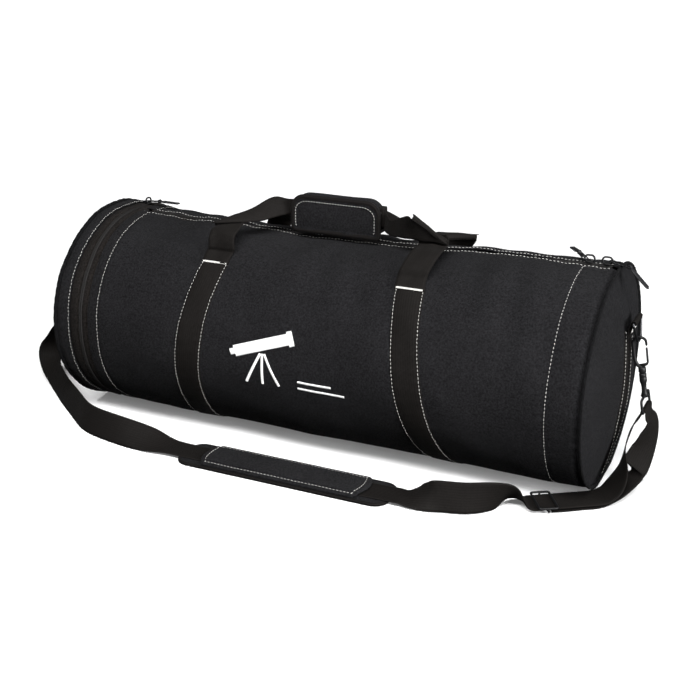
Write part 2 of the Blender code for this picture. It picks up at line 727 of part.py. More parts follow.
LEGS = {
    "handle_leg_front_left": (
        (-0.1860, -0.1080, 0.3375, 1.0, 0.00, 0.0, 0.050),
        (-0.1930, -0.0850, 0.3560, 1.0, 0.00, 0.2, 0.050),
        (-0.1880, -0.0600, 0.3760, 0.9, 0.20, 0.4, 0.049),
        (-0.1620, -0.0420, 0.3880, 0.5, 0.50, 0.7, 0.046),
        (-0.1300, -0.0300, 0.3960, 0.1, 0.50, 0.8, 0.038),
        (-0.1040, -0.0175, 0.4010, 0.0, 0.20, 1.0, 0.030),
        (-0.0826, -0.0155, 0.4013, 0.0, 0.00, 1.0, 0.028),
    ),
    "handle_leg_front_right": (
        (0.1740, -0.1080, 0.3375, 1.0, 0.00, 0.0, 0.050),
        (0.1840, -0.0850, 0.3560, 1.0, 0.00, 0.0, 0.050),
        (0.1860, -0.0600, 0.3740, 0.9, -0.30, 0.2, 0.050),
        (0.1700, -0.0440, 0.3880, 0.5, -0.60, 0.5, 0.048),
        (0.1400, -0.0340, 0.3960, 0.1, -0.50, 0.8, 0.044),
        (0.1090, -0.0175, 0.4010, 0.0, -0.20, 1.0, 0.038),
        (0.0852, -0.0155, 0.4013, 0.0, 0.00, 1.0, 0.034),
    ),
    "handle_leg_rear_left": (
        (-0.1850, 0.1080, 0.3375, 1.0, 0.00, 0.0, 0.050),
        (-0.1880, 0.0850, 0.3560, 1.0, 0.00, 0.2, 0.050),
        (-0.1760, 0.0560, 0.3740, 0.9, -0.20, 0.4, 0.050),
        (-0.1480, 0.0330, 0.3860, 0.5, -0.50, 0.7, 0.044),
        (-0.1200, 0.0120, 0.3950, 0.1, -0.50, 0.8, 0.034),
        (-0.1010, -0.0065, 0.4010, 0.0, -0.20, 1.0, 0.028),
        (-0.0826, -0.0085, 0.4013, 0.0, 0.00, 1.0, 0.026),
    ),
    "handle_leg_rear_right": (
        (0.1740, 0.1080, 0.3375, 1.0, 0.00, 0.0, 0.050),
        (0.1900, 0.0900, 0.3560, 1.0, 0.00, 0.0, 0.050),
        (0.2040, 0.0680, 0.3760, 0.9, 0.20, 0.1, 0.050),
        (0.1900, 0.0440, 0.3900, 0.5, 0.50, 0.5, 0.046),
        (0.1500, 0.0230, 0.3960, 0.1, 0.50, 0.8, 0.040),
        (0.1080, -0.0060, 0.4010, 0.0, 0.20, 1.0, 0.034),
        (0.0852, -0.0085, 0.4013, 0.0, 0.00, 1.0, 0.030),
    ),
}


def build_legs():
    """The free webbing of both carry handles, from the girth strips up to the grip."""
    foot_angle = radians(TACK_ANGLE - 1.5)
    for name, stations in LEGS.items():
        side = -1 if name.endswith("left") else 1
        front = "front" in name
        y, z = edge_point(foot_angle, -0.0026)
        foot = (girth_centre(side, foot_angle), y if front else -y, z, 1.0, 0.0, 0.0, WEB)
        free_strap(name, (foot, *stations))


# ---------------------------------------------------------------- shoulder strap


STRAP_FLOOR = (
    (-0.4660, -0.1770, 0.0240, 68.0),
    (-0.4076, -0.2177, 0.0240, 68.0),
    (-0.3387, -0.2338, 0.0228, 60.0),
    (-0.2729, -0.2335, 0.0158, 34.0),
    (-0.2350, -0.2290, 0.0085, 6.0),
    (-0.2150, PAD_Y, STRAP_Z, 0.0),
    (-0.1900, PAD_Y, STRAP_Z, 0.0),
    (-0.1450, PAD_Y, STRAP_Z, 0.0),
    (-0.0650, PAD_Y, STRAP_Z, 0.0),
    (0.0000, PAD_Y, STRAP_Z, 0.0),
    (0.0650, PAD_Y, STRAP_Z, 0.0),
    (0.1400, PAD_Y, STRAP_Z, 0.0),
    (0.1860, PAD_Y, STRAP_Z, 0.0),
    (0.2000, PAD_Y, STRAP_Z, 0.0),
    (0.2120, PAD_Y, STRAP_Z, 0.0),
    (0.2260, -0.2285, 0.0100, 14.0),
    (0.2440, -0.2305, 0.0165, 38.0),
    (0.2700, -0.2325, 0.0240, 64.0),
    (0.3145, -0.2226, 0.0255, 72.0),
    (0.3490, -0.2020, 0.0262, 90.0),
    (0.3700, -0.1790, 0.0225, 122.0),
    (0.3860, -0.1690, 0.0130, 158.0),
    (0.4000, -0.1625, 0.0072, 180.0),
    (0.4200, -0.1500, 0.0072, 180.0),
    (0.4420, -0.1360, 0.0072, 180.0),
    (0.4620, -0.1220, 0.0072, 180.0),
)

STRAP_UP = (
    (0.4628, -0.1214, 0.0072, -0.57, 0.82, 0.0),
    (0.4880, -0.1038, 0.0076, -0.64, 0.77, 0.0),
    (0.5020, -0.0930, 0.0110, -0.66, 0.75, 0.0),
    (0.5110, -0.0770, 0.0200, -0.60, 0.80, 0.0),
    (0.5150, -0.0440, 0.0420, -0.30, 0.95, 0.0),
    (0.5150, -0.0160, 0.0720, -0.10, 1.00, 0.0),
    (0.5210, -0.0020, 0.1000, 0.00, 1.00, 0.0),
)

STRAP_BACK = (
    (0.5490, 0.0000, 0.1120, 0.00, 1.00, 0.0),
    (0.5450, -0.0015, 0.0900, 0.00, 1.00, 0.0),
    (0.5360, -0.0080, 0.0630, -0.10, 1.00, 0.0),
    (0.5220, -0.0330, 0.0330, -0.40, 0.90, 0.0),
    (0.5120, -0.0700, 0.0110, -0.66, 0.75, 0.0),
    (0.4930, -0.0995, 0.0030, -0.64, 0.77, 0.0),
    (0.4640, -0.1205, 0.0022, -0.57, 0.82, 0.0),
    (0.4430, -0.1353, 0.0022, -0.57, 0.82, 0.0),
    (0.4252, -0.1467, 0.0022, -0.53, 0.85, 0.0),
)

STRAP_LEFT = (
    (-0.6000, -0.0020, 0.1250, 0.00, 1.00, 0.0),
    (-0.6230, -0.0100, 0.0980, 0.10, 1.00, 0.0),
    (-0.6330, -0.0240, 0.0640, 0.20, 0.90, 0.2),
    (-0.6210, -0.0480, 0.0390, 0.30, 0.70, 0.6),
    (-0.5870, -0.0800, 0.0270, 0.30, 0.40, 1.0),
    (-0.5350, -0.1240, 0.0240, 0.20, 0.30, 0.93),
    (-0.4667, -0.1765, 0.0240, 0.20, 0.30, 0.93),
)


def over_bar(bar, turn):
    """Stations of a strap going over an eye's lower bar; turn is 1 where it comes from the bag's middle."""
    radius = WIRE + 0.0008 + WEB_THICK / 2
    route = [(-radius - 0.0016, -0.0100), (-radius - 0.0003, -0.0035)]
    route += [(-radius * cos(pi * i / 6), radius * sin(pi * i / 6)) for i in range(7)]
    route += [(radius + 0.0003, -0.0035), (radius + 0.0016, -0.0100)]
    return [(bar.x + turn * x, 0.0, bar.z + z, 0.0, 1.0, 0.0) for x, z in route]


def build_strap():
    """The shoulder strap: its stretch on the floor, and the ends that rise to the two eyes."""
    floor_strap("strap_main", STRAP_FLOOR)

    bar = hanger(1) @ Vector((0, 0, -EYE_BAR))
    free_strap("strap_right_loop", [(*row, WEB) for row in (*STRAP_UP, *over_bar(bar, 1), *STRAP_BACK)])

    bar = hanger(-1) @ Vector((0, 0, -EYE_BAR))
    turned_in = (bar.x + 0.0060, 0.0, bar.z - 0.0360, 0.0, 1.0, 0.0)
    rows = (turned_in, *over_bar(bar, -1), *STRAP_LEFT)
    free_strap("strap_left_rise", [(*row, WEB) for row in rows])


def build_adjuster():
    """The three-bar adjuster: a wire frame over the strap and a bar under it, in the strap's sewn end."""
    place = Matrix.Translation(ADJUSTER) @ Matrix.Rotation(radians(ADJUSTER_TURN), 4, "Z")
    wire, over, under = 0.0018, 0.0104, 0.0041
    half_long, half_wide = 0.0150, 0.0280
    corners = rounded(-half_long, half_long, -half_wide, half_wide, 0.0040, 2)
    frame = [(x, y, over) for x, y in corners]
    pivot(as_mesh(rod("adjuster_frame", placed(place, frame), wire, "dark_metal", closed=True)), ADJUSTER)
    lift = over - 2 * wire - GAP
    bar = [(0, -half_wide, lift), (0, -half_wide, under), (0, half_wide, under), (0, half_wide, lift)]
    pivot(as_mesh(rod("adjuster_bar", placed(place, bar), wire, "dark_metal")), ADJUSTER)


def build_pad():
    """The shoulder pad: a foam base under the strap and a fabric sleeve over it."""
    centre = (PAD_X[0] + PAD_X[1]) / 2
    base = 0.0060
    half = (PAD_X[1] - PAD_X[0]) / 2
    outline = rounded(-half, half, -PAD_WIDE / 2, PAD_WIDE / 2, 0.0260, 5)
    place = Matrix.Translation((centre, PAD_Y, base / 2))
    plate("shoulder_pad_base", outline, base, place, "fabric")

    low, inner, top = base + GAP, STRAP_Z + WEB_THICK / 2 + 0.0006, 0.0125
    side, edge = WEB / 2 + 0.0010, PAD_WIDE / 2
    profile = [(-edge, low), (-side, low), (-side, inner), (side, inner), (side, low), (edge, low)]
    profile += [(edge - 0.0040, top), (-edge + 0.0040, top)]
    bm = bmesh.new()
    loops = [[(x, PAD_Y + y, z) for y, z in profile] for x in SLEEVE_X]
    rows = skin(bm, loops)
    bm.faces.new(rows[0])
    bm.faces.new(rows[-1])
    from_bmesh("shoulder_pad_sleeve", bm, "fabric")


build_walls()
build_main_zip()
build_end_zip()
for end in (-1, 1):
    build_end(end)
    build_girth_strip(end)
    build_hanger(end)
build_sliders()
build_grip()
build_legs()
build_strap()
build_adjuster()
build_pad()
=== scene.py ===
import json
import math
import bpy
import numpy as np
from mathutils import Matrix, Vector


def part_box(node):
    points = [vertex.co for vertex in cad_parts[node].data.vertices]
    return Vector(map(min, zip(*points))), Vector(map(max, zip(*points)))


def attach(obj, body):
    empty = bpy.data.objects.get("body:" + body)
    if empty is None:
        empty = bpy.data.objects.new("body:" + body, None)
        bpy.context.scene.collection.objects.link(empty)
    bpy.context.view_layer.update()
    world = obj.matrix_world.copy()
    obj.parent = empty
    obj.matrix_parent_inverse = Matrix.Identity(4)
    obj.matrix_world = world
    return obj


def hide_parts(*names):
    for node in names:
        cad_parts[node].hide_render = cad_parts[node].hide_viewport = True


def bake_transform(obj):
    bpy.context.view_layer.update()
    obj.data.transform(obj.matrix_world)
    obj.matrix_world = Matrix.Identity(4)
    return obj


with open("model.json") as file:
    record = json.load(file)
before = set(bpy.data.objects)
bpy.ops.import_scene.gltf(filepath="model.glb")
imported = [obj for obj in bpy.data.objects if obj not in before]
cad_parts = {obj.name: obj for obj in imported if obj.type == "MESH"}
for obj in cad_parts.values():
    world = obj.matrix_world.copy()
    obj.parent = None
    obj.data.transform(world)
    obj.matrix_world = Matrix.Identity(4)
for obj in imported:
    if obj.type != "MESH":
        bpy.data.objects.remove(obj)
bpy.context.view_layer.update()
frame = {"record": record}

JOINTS = {j["name"]: j for j in frame["record"]["behaviour"]["joints"]}

# ---------------------------------------------------------------- camera


def make_camera(azimuth, elevation, distance, target, lens):
    """A camera that looks at the target. Azimuth 0 looks along +Y."""
    az, el = math.radians(azimuth), math.radians(elevation)
    back = Vector((math.sin(az) * math.cos(el), -math.cos(az) * math.cos(el), math.sin(el)))
    data = bpy.data.cameras.new("camera")
    data.lens, data.sensor_width, data.clip_end = lens, 36.0, 60.0
    cam = bpy.data.objects.new("camera", data)
    cam.location = Vector(target) + back * distance
    cam.rotation_euler = (-back).to_track_quat("-Z", "Y").to_euler()
    bpy.context.scene.collection.objects.link(cam)
    bpy.context.scene.camera = cam


AZIMUTH = 24.876
make_camera(AZIMUTH, 21.022, 2.1059, (0.01184, 0.0, 0.14675), 60.75)

# ---------------------------------------------------------------- meshes


def show(name, mesh, mat, body=None, replaces=()):
    """Links a new object, gives it its material and body, and hides the CAD nodes that it stands for."""
    obj = bpy.data.objects.new(name, mesh)
    bpy.context.scene.collection.objects.link(obj)
    mesh.materials.append(mat)
    if body:
        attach(obj, body)
    if replaces:
        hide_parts(*replaces)
    return obj


def build(name, verts, faces, uvs):
    """A mesh from points, faces of equal size, and one UV for each face corner, in metres."""
    mesh = bpy.data.meshes.new(name)
    mesh.from_pydata(verts.tolist(), [], faces.tolist())
    layer = mesh.uv_layers.new(name="UVMap")
    layer.data.foreach_set("uv", uvs.reshape(-1).astype(np.float32))
    mesh.polygons.foreach_set("use_smooth", [True] * len(mesh.polygons))
    mesh.update()
    return mesh


def grid(name, P, wrap_i=False, wrap_j=False, flip=False):
    """A mesh of quads over a grid of points. U runs with the first index and V with the second."""
    ni, nj = P.shape[:2]
    du = np.linalg.norm(np.roll(P, -1, 0) - P, axis=2).mean(1)
    dv = np.linalg.norm(np.roll(P, -1, 1) - P, axis=2).mean(0)
    u, v = np.concatenate([[0], np.cumsum(du)]), np.concatenate([[0], np.cumsum(dv)])
    i, j = np.meshgrid(np.arange(ni if wrap_i else ni - 1), np.arange(nj if wrap_j else nj - 1),
        indexing="ij")
    i1, j1 = (i + 1) % ni, (j + 1) % nj
    faces = np.stack([i * nj + j, i1 * nj + j, i1 * nj + j1, i * nj + j1], -1).reshape(-1, 4)
    corners = ((i, j), (i + 1, j), (i + 1, j + 1), (i, j + 1))
    uvs = np.stack([np.stack([u[a], v[b]], -1) for a, b in corners], 2).reshape(-1, 4, 2)
    if flip:
        faces, uvs = faces[:, ::-1], uvs[:, ::-1]
    return build(name, P.reshape(-1, 3), faces, uvs)


def axes(x, y, z):
    """The turn that takes local X, Y and Z to three directions."""
    return Matrix((x, y, z)).transposed().to_4x4()


def unit(v):
    v = np.asarray(v, float)
    return v / np.maximum(np.linalg.norm(v, axis=-1, keepdims=True), 1e-12)


def frames(points, closed=False):
    """Tangents and turning-free normals along a line of points."""
    P = np.asarray(points, float)
    ahead = (np.roll(P, -1, 0) - np.roll(P, 1, 0)) if closed else np.gradient(P, axis=0)
    T = unit(ahead)
    start = np.cross(T[0], [0.31, 0.87, 0.39])
    N = [unit(start)]
    for t in T[1:]:
        n = N[-1] - t * np.dot(N[-1], t)
        N.append(unit(n))
    N = np.array(N)
    if closed:
        last = N[-1] - T[0] * np.dot(N[-1], T[0])
        side = np.cross(T[0], N[0])
        turn = math.atan2(np.dot(last, side), np.dot(last, N[0]))
        share = -turn * np.arange(len(P)) / len(P)
        B = np.cross(T, N)
        N = N * np.cos(share)[:, None] + B * np.sin(share)[:, None]
    return P, T, N, np.cross(T, N)


def tube(name, points, radius, closed=False, sides=14):
    """A round bar along points; radius is one number or one for each point. Open ends are rounded."""
    P, T, N, B = frames(points, closed)
    r = np.broadcast_to(np.asarray(radius, float), len(P)).copy()
    if not closed:
        caps = [(0.0, 0.02), (0.0, 0.55), (0.06, 0.86)]
        head = [(P[0] + T[0] * r[0] * a * 4, N[0], B[0], r[0] * b) for a, b in caps]
        tail = [(P[-1] - T[-1] * r[-1] * a * 4, N[-1], B[-1], r[-1] * b) for a, b in reversed(caps)]
        rows = head + [(P[k], N[k], B[k], r[k]) for k in range(1, len(P) - 1)] + tail
    else:
        rows = [(P[k], N[k], B[k], r[k]) for k in range(len(P))]
    t = around(sides)
    G = np.array([c + (np.outer(np.cos(t), n) + np.outer(np.sin(t), b)) * s for c, n, b, s in rows])
    return grid(name, G, wrap_i=closed, wrap_j=True)


def join(name, meshes):
    """One mesh out of several."""
    verts, faces, uvs, count = [], [], [], 0
    for mesh in meshes:
        co = np.empty(len(mesh.vertices) * 3)
        mesh.vertices.foreach_get("co", co)
        verts += co.reshape(-1, 3).tolist()
        for p in mesh.polygons:
            faces.append([i + count for i in p.vertices])
            uvs += [tuple(mesh.uv_layers[0].data[k].uv) for k in p.loop_indices]
        count += len(mesh.vertices)
        bpy.data.meshes.remove(mesh)
    out = bpy.data.meshes.new(name)
    out.from_pydata(verts, [], faces)
    out.uv_layers.new(name="UVMap").data.foreach_set("uv", np.array(uvs, np.float32).reshape(-1))
    out.polygons.foreach_set("use_smooth", [True] * len(faces))
    out.update()
    return out


def fillet(points, radius, closed=False, steps=5):
    """A line with its corners rounded."""
    P = [np.asarray(p, float) for p in points]
    out = []
    n = len(P)
    for k, p in enumerate(P):
        if not closed and k in (0, n - 1):
            out.append(p)
            continue
        a, b = P[k - 1] - p, P[(k + 1) % n] - p
        la, lb = np.linalg.norm(a), np.linalg.norm(b)
        cut = min(radius, la * 0.48, lb * 0.48)
        s, e = p + a / la * cut, p + b / lb * cut
        for q in np.linspace(0, 1, steps):
            out.append((1 - q) ** 2 * s + 2 * q * (1 - q) * p + q**2 * e)
    return np.array(out)


def smooth_path(stations, per_step):
    """More stations on one smooth curve through the given rows of numbers."""
    rows = [np.array(s, float) for s in stations]
    rows = [rows[0] * 2 - rows[1]] + rows + [rows[-1] * 2 - rows[-2]]
    out = []
    for a, b, c, d in zip(rows, rows[1:], rows[2:], rows[3:]):
        for i in range(per_step):
            t = i / per_step
            square, cube = (2 * a - 5 * b + 4 * c - d) * t**2, (3 * b - a - 3 * c + d) * t**3
            out.append(0.5 * (2 * b + (c - a) * t + square + cube))
    out.append(rows[-2])
    return np.array(out)


def waves(seed, count, low, high):
    """A smooth, repeatable random field over points in space, about -1 to 1."""
    rng = np.random.default_rng(seed)
    ways = unit(rng.normal(size=(count, 3)))
    lengths = rng.uniform(low, high, count)
    phases = rng.uniform(0, 2 * np.pi, count)

    def value(P):
        total = 0.0
        for way, length, phase in zip(ways, lengths, phases):
            total = total + np.sin(2 * np.pi * (P @ way) / length + phase)
        return total / math.sqrt(count)

    return value


# ---------------------------------------------------------------- the bag's surface

HALF_WIDTH, HALF_HEIGHT, CENTRE_Z = 0.2017, 0.1836, 0.1796
SAG, SAG_END = 0.0288, 0.43
END_X = 0.4742
SEAM_END, SEAM_FLAP, SEAM_LID = 0.4235, -0.3886, -0.4492
WEB = 0.05
GIRTH_X, GIRTH_LEAN, TACK = 0.202, {-1: 0.101, 1: 0.172}, math.radians(37.5)
MEAN_R = 0.1927
SLIT = math.asin(0.007 / HALF_WIDTH)

soft_folds = waves(11, 9, 0.13, 0.36)
small_folds = waves(12, 14, 0.035, 0.09)
drag_folds = waves(13, 10, 0.045, 0.11)


def girth_x(side, a):
    """X of a girth strip's centre line at an angle from the top; a is from 0 to pi."""
    return side * (GIRTH_X + GIRTH_LEAN[side] * HALF_HEIGHT * (a - math.pi / 2))


def pucker(arc, seed, pitch=0.0165):
    return np.sin(2 * np.pi * arc / pitch + 1.9 * np.sin(2 * np.pi * arc / 0.123 + seed * 37) + seed * 91)


def relief(x, a, P):
    """How far the padded cloth stands out: soft folds, and the gathers along each seam."""
    d = 0.0024 * soft_folds(P * [0.7, 1, 1]) + 0.0005 * small_folds(P)
    d = d + 0.0022 * drag_folds(P * [1.0, 0.45, 0.45]) * np.exp(-(((np.cos(a) - 0.75) / 0.38) ** 2))
    arc = a * MEAN_R
    d = d - 0.0022 * (np.exp(-(((x - END_X) / 0.006) ** 2)) + np.exp(-(((x + END_X) / 0.006) ** 2)))
    for seam in (SEAM_END, SEAM_FLAP, SEAM_LID, END_X, -END_X):
        t = np.abs(x - seam)
        d = d - 0.0011 * np.exp(-((t / 0.005) ** 2)) + 0.0006 * np.exp(-t / 0.013) * pucker(arc, seam)
    from_top = np.minimum(a % (2 * np.pi), 2 * np.pi - a % (2 * np.pi))
    below = np.clip((from_top - TACK + 0.03) / 0.03, 0, 1)
    for side in (-1, 1):
        for edge in (-1, 1):
            t = np.abs(x - girth_x(side, from_top) - edge * (WEB / 2 - 0.003))
            gather = 0.00045 * np.exp(-t / 0.012) * pucker(arc, side + edge * 0.3, 0.021)
            d = d + below * (gather - 0.0009 * np.exp(-((t / 0.006) ** 2)))
    t = np.abs(from_top * MEAN_R - 0.0125)
    d = d - 0.0008 * np.exp(-((t / 0.004) ** 2)) + 0.0004 * np.exp(-t / 0.012) * pucker(x, 0.7, 0.024)
    return d * np.clip(P[..., 2] / 0.03, 0, 1)


def skin(x, a, off=0.0, folds=1.0):
    """Points on the cloth at x along the bag and angle a from the top towards the front, off outside it."""
    x, a, off = np.broadcast_arrays(*(np.asarray(q, float) for q in (x, a, off)))
    s = 1 - SAG * np.clip(1 - (x / SAG_END) ** 2, 0, 1)
    y = -HALF_WIDTH * np.sin(a) * s
    z = (CENTRE_Z + HALF_HEIGHT * np.cos(a)) * s
    normal = skin_normal(x, a)
    P = np.stack([x, y, np.maximum(z, 0.0)], -1)
    normal[z <= 0.0] = (0, 0, -1)
    out = P + normal * (folds * relief(x, a, P) + off)[..., None]
    out[..., 2] = np.maximum(out[..., 2], 0.0003)
    return out


def skin_normal(x, a):
    return unit(np.stack([0 * x, -np.sin(a) / HALF_WIDTH, np.cos(a) / HALF_HEIGHT], -1))


def around(steps):
    """Even angles of a full turn, without its end."""
    return np.linspace(0, 2 * math.pi, steps, endpoint=False)


def ring_piece(name, profile, angles, wrap=True, close=False, ridge=None):
    """Sweeps a profile of (x, off) round the bag. ridge is added to off for each angle."""
    xs, offs = np.array(profile, float).T
    more = 0.0 if ridge is None else ridge(np.asarray(angles))[None, :]
    P = skin(xs[:, None], np.asarray(angles)[None, :], offs[:, None] + more)
    return grid(name, P, wrap_i=close, wrap_j=wrap)


# ---------------------------------------------------------------- materials


class Nodes:
    """A material's node tree, with short ways to add nodes."""

    def __init__(self, name, colour, rough, metal=0.0, **sockets):
        self.mat = bpy.data.materials.new(name)
        self.mat.use_nodes = True
        self.tree = self.mat.node_tree
        self.shader = self.tree.nodes["Principled BSDF"]
        self.shader.inputs["Base Color"].default_value = (*colour, 1.0)
        self.shader.inputs["Roughness"].default_value = rough
        self.shader.inputs["Metallic"].default_value = metal
        for key, value in sockets.items():
            self.shader.inputs[key.replace("_", " ")].default_value = value

    def add(self, kind, **values):
        node = self.tree.nodes.new(kind)
        for key, value in values.items():
            if key in node.bl_rna.properties:
                setattr(node, key, value)
            else:
                node.inputs[key.replace("_", " ")].default_value = value
        return node

    def link(self, a, b):
        self.tree.links.new(a, b)

    def math(self, operation, a, b=None):
        node = self.add("ShaderNodeMath", operation=operation)
        for k, value in enumerate((a, b)):
            if value is None:
                continue
            if isinstance(value, (int, float)):
                node.inputs[k].default_value = value
            else:
                self.link(value, node.inputs[k])
        return node.outputs[0]

    def uv(self):
        node = self.add("ShaderNodeUVMap", uv_map="UVMap")
        split = self.add("ShaderNodeSeparateXYZ")
        self.link(node.outputs[0], split.inputs[0])
        return split.outputs[0], split.outputs[1]

    def noise(self, scale, detail=3.0, rough=0.55):
        coords = self.add("ShaderNodeTexCoord")
        node = self.add("ShaderNodeTexNoise", Scale=scale, Detail=detail, Roughness=rough)
        self.link(coords.outputs["Object"], node.inputs["Vector"])
        return node.outputs["Fac"]

    def wave(self, coordinate, pitch):
        return self.math("SINE", self.math("MULTIPLY", coordinate, 2 * math.pi / pitch))

    def tint(self, factor, dark, light):
        """Base colour between two colours."""
        mix = self.add("ShaderNodeMix", data_type="RGBA")
        self.link(factor, mix.inputs["Factor"])
        mix.inputs["A"].default_value = (*dark, 1)
        mix.inputs["B"].default_value = (*light, 1)
        self.link(mix.outputs["Result"], self.shader.inputs["Base Color"])

    def gloss(self, factor, low, high):
        node = self.add("ShaderNodeMapRange")
        node.inputs["To Min"].default_value = low
        node.inputs["To Max"].default_value = high
        self.link(factor, node.inputs["Value"])
        self.link(node.outputs[0], self.shader.inputs["Roughness"])

    def bump(self, height, distance, strength=1.0):
        node = self.add("ShaderNodeBump", Strength=strength, Distance=distance)
        self.link(height, node.inputs["Height"])
        self.link(node.outputs[0], self.shader.inputs["Normal"])


def lighter(colour, share):
    return tuple(min(1.0, c * share) for c in colour)


def cloth(name, colour, pitch=0.0011, rough=(0.6, 0.76), sheen=0.012, depth=0.00025):
    """Plain-woven cloth: crossed threads, slubs, and slightly uneven dye and lint."""
    n = Nodes(name, colour, rough[0], Sheen_Weight=sheen, Sheen_Roughness=0.45, Specular_IOR_Level=0.05)
    u, v = n.uv()
    warp, weft = n.wave(u, pitch), n.wave(v, pitch)
    weave = n.math("MULTIPLY", warp, weft)
    slub = n.noise(330.0, 4.0, 0.7)
    patch = n.noise(9.0, 4.0)
    grain = n.math("ADD", n.math("MULTIPLY", n.math("SUBTRACT", slub, 0.5), 2.6),
        n.math("MULTIPLY", weave, 0.12))
    shade = n.math("ADD", n.math("ADD", grain, 0.25), n.math("MULTIPLY", patch, 0.5))
    n.tint(shade, lighter(colour, 0.35), lighter(colour, 1.9))
    n.gloss(shade, rough[1], rough[0])
    n.bump(n.math("ADD", weave, n.math("MULTIPLY", slub, 1.3)), depth, 0.8)
    return n.mat


def webbing(name, colour, pitch=0.0019):
    """Ribbed webbing: ridges across it, columns along it, and worn, paler high threads."""
    n = Nodes(name, colour, 0.62, Sheen_Weight=0.012, Sheen_Roughness=0.4, Specular_IOR_Level=0.05)
    u, v = n.uv()
    column = n.wave(v, 0.0042)
    ridge = n.math("ABSOLUTE", n.wave(n.math("ADD", u, n.math("MULTIPLY", column, 0.00022)), pitch * 2))
    height = n.math("ADD", ridge, n.math("MULTIPLY", column, 0.22))
    lint = n.noise(160.0, 3.0)
    patch = n.noise(14.0, 3.0)
    shade = n.math("ADD", n.math("MULTIPLY", height, 0.42),
        n.math("MULTIPLY", n.math("ADD", lint, patch), 0.28))
    n.tint(shade, lighter(colour, 0.55), lighter(colour, 1.7))
    n.gloss(shade, 0.72, 0.5)
    n.bump(n.math("ADD", height, n.math("MULTIPLY", lint, 0.35)), 0.00035, 0.9)
    return n.mat


def thread(name, colour):
    """Twisted sewing thread."""
    n = Nodes(name, colour, 0.6, Sheen_Weight=0.3, Sheen_Roughness=0.4)
    fuzz = n.noise(900.0, 2.0)
    n.tint(fuzz, lighter(colour, 0.75), lighter(colour, 1.1))
    n.bump(fuzz, 0.0001, 0.6)
    return n.mat


def metal(name, colour, rough, metallic=1.0, coat=0.0):
    """Plated or painted metal with fine scratches and uneven polish."""
    n = Nodes(name, colour, rough[0], metallic, Coat_Weight=coat, Coat_Roughness=0.25, Specular_IOR_Level=0.2)
    scratch = n.noise(700.0, 5.0, 0.7)
    patch = n.noise(45.0, 4.0)
    n.tint(patch, lighter(colour, 0.82), lighter(colour, 1.12))
    n.gloss(n.math("MULTIPLY", n.math("ADD", scratch, patch), 0.5), rough[0], rough[1])
    n.bump(scratch, 0.00004, 0.5)
    return n.mat


def moulded(name, colour, rough, grain=0.00008):
    """Moulded plastic or rubber with a fine grain."""
    n = Nodes(name, colour, rough[0], Specular_IOR_Level=0.25)
    fine, patch = n.noise(1100.0, 3.0), n.noise(35.0, 3.0)
    n.tint(patch, lighter(colour, 0.75), lighter(colour, 1.3))
    n.gloss(patch, rough[0], rough[1])
    n.bump(fine, grain, 0.6)
    return n.mat


def foam(name, colour):
    """Closed-cell foam."""
    n = Nodes(name, colour, 0.92)
    cells = n.add("ShaderNodeTexVoronoi", Scale=620.0)
    coords = n.add("ShaderNodeTexCoord")
    n.link(coords.outputs["Object"], cells.inputs["Vector"])
    n.tint(cells.outputs["Distance"], lighter(colour, 0.7), lighter(colour, 1.25))
    n.bump(cells.outputs["Distance"], 0.0002, 0.7)
    return n.mat


FABRIC = cloth("fabric_body", (0.0085, 0.0084, 0.0092))
FABRIC_TRIM = cloth("fabric_trim", (0.0075, 0.0074, 0.008))
PIPING = cloth("fabric_piping", (0.0036, 0.0036, 0.004), pitch=0.0009)
LINING = cloth("lining_cloth", (0.055, 0.055, 0.06), pitch=0.0008, rough=(0.4, 0.55), sheen=0.02)
TAPE = cloth("zip_tape_weave", (0.01, 0.0085, 0.0078), pitch=0.0013, depth=0.0003)
WEBBING = webbing("webbing_ribbed", (0.006, 0.0053, 0.0049))
BINDING = webbing("binding_tape", (0.0056, 0.005, 0.0048), pitch=0.0013)
THREAD = thread("topstitch_thread", (0.6, 0.59, 0.56))
MARK = thread("embroidery_thread", (0.8, 0.8, 0.79))
FOAM = foam("foam_cells", (0.075, 0.075, 0.08))
NICKEL = metal("satin_nickel", (0.07, 0.07, 0.074), (0.28, 0.44))
DARK_METAL = metal("black_lacquered_metal", (0.007, 0.007, 0.0075), (0.34, 0.5), 0.0, coat=0.05)
COIL = moulded("nylon_coil", (0.005, 0.0044, 0.0042), (0.6, 0.72))
RUBBER = moulded("pull_rubber", (0.01, 0.01, 0.011), (0.42, 0.6), 0.00012)

# ---------------------------------------------------------------- stitches

SEWN = {}  # for each key, rows of (centres, directions, normals, lengths, radius, sink)
THREAD_RADIUS = 0.00037


def stitch_along(key, P, N, pitch=0.0062, length=0.0036):
    """Adds a row of topstitches along a line; key says which piece of sewing they belong to."""
    P, N = np.asarray(P, float), np.asarray(N, float)
    step = np.linalg.norm(np.diff(P, axis=0), axis=1)
    s = np.concatenate([[0], np.cumsum(step)])
    count = max(1, int(s[-1] / pitch))
    mids = (np.arange(count) + 0.5) * s[-1] / count

    def at(q, A):
        return np.stack([np.interp(q, s, A[:, k]) for k in range(3)], -1)

    half = length / 2
    a, b, c = at(mids - half, P), at(mids + half, P), at(mids, P)
    n = unit(at(mids, N))
    t = unit(b - a)
    n = unit(n - t * (n * t).sum(1, keepdims=True))
    SEWN.setdefault(key, []).append((c, t, n, np.full(count, length), THREAD_RADIUS, 0.0001))


def stitch_skin(key, x, a, lift):
    """A row of topstitches on the bag's cloth, at x and angle a."""
    stitch_along(key, skin(x, a, lift), skin_normal(0 * a, a))


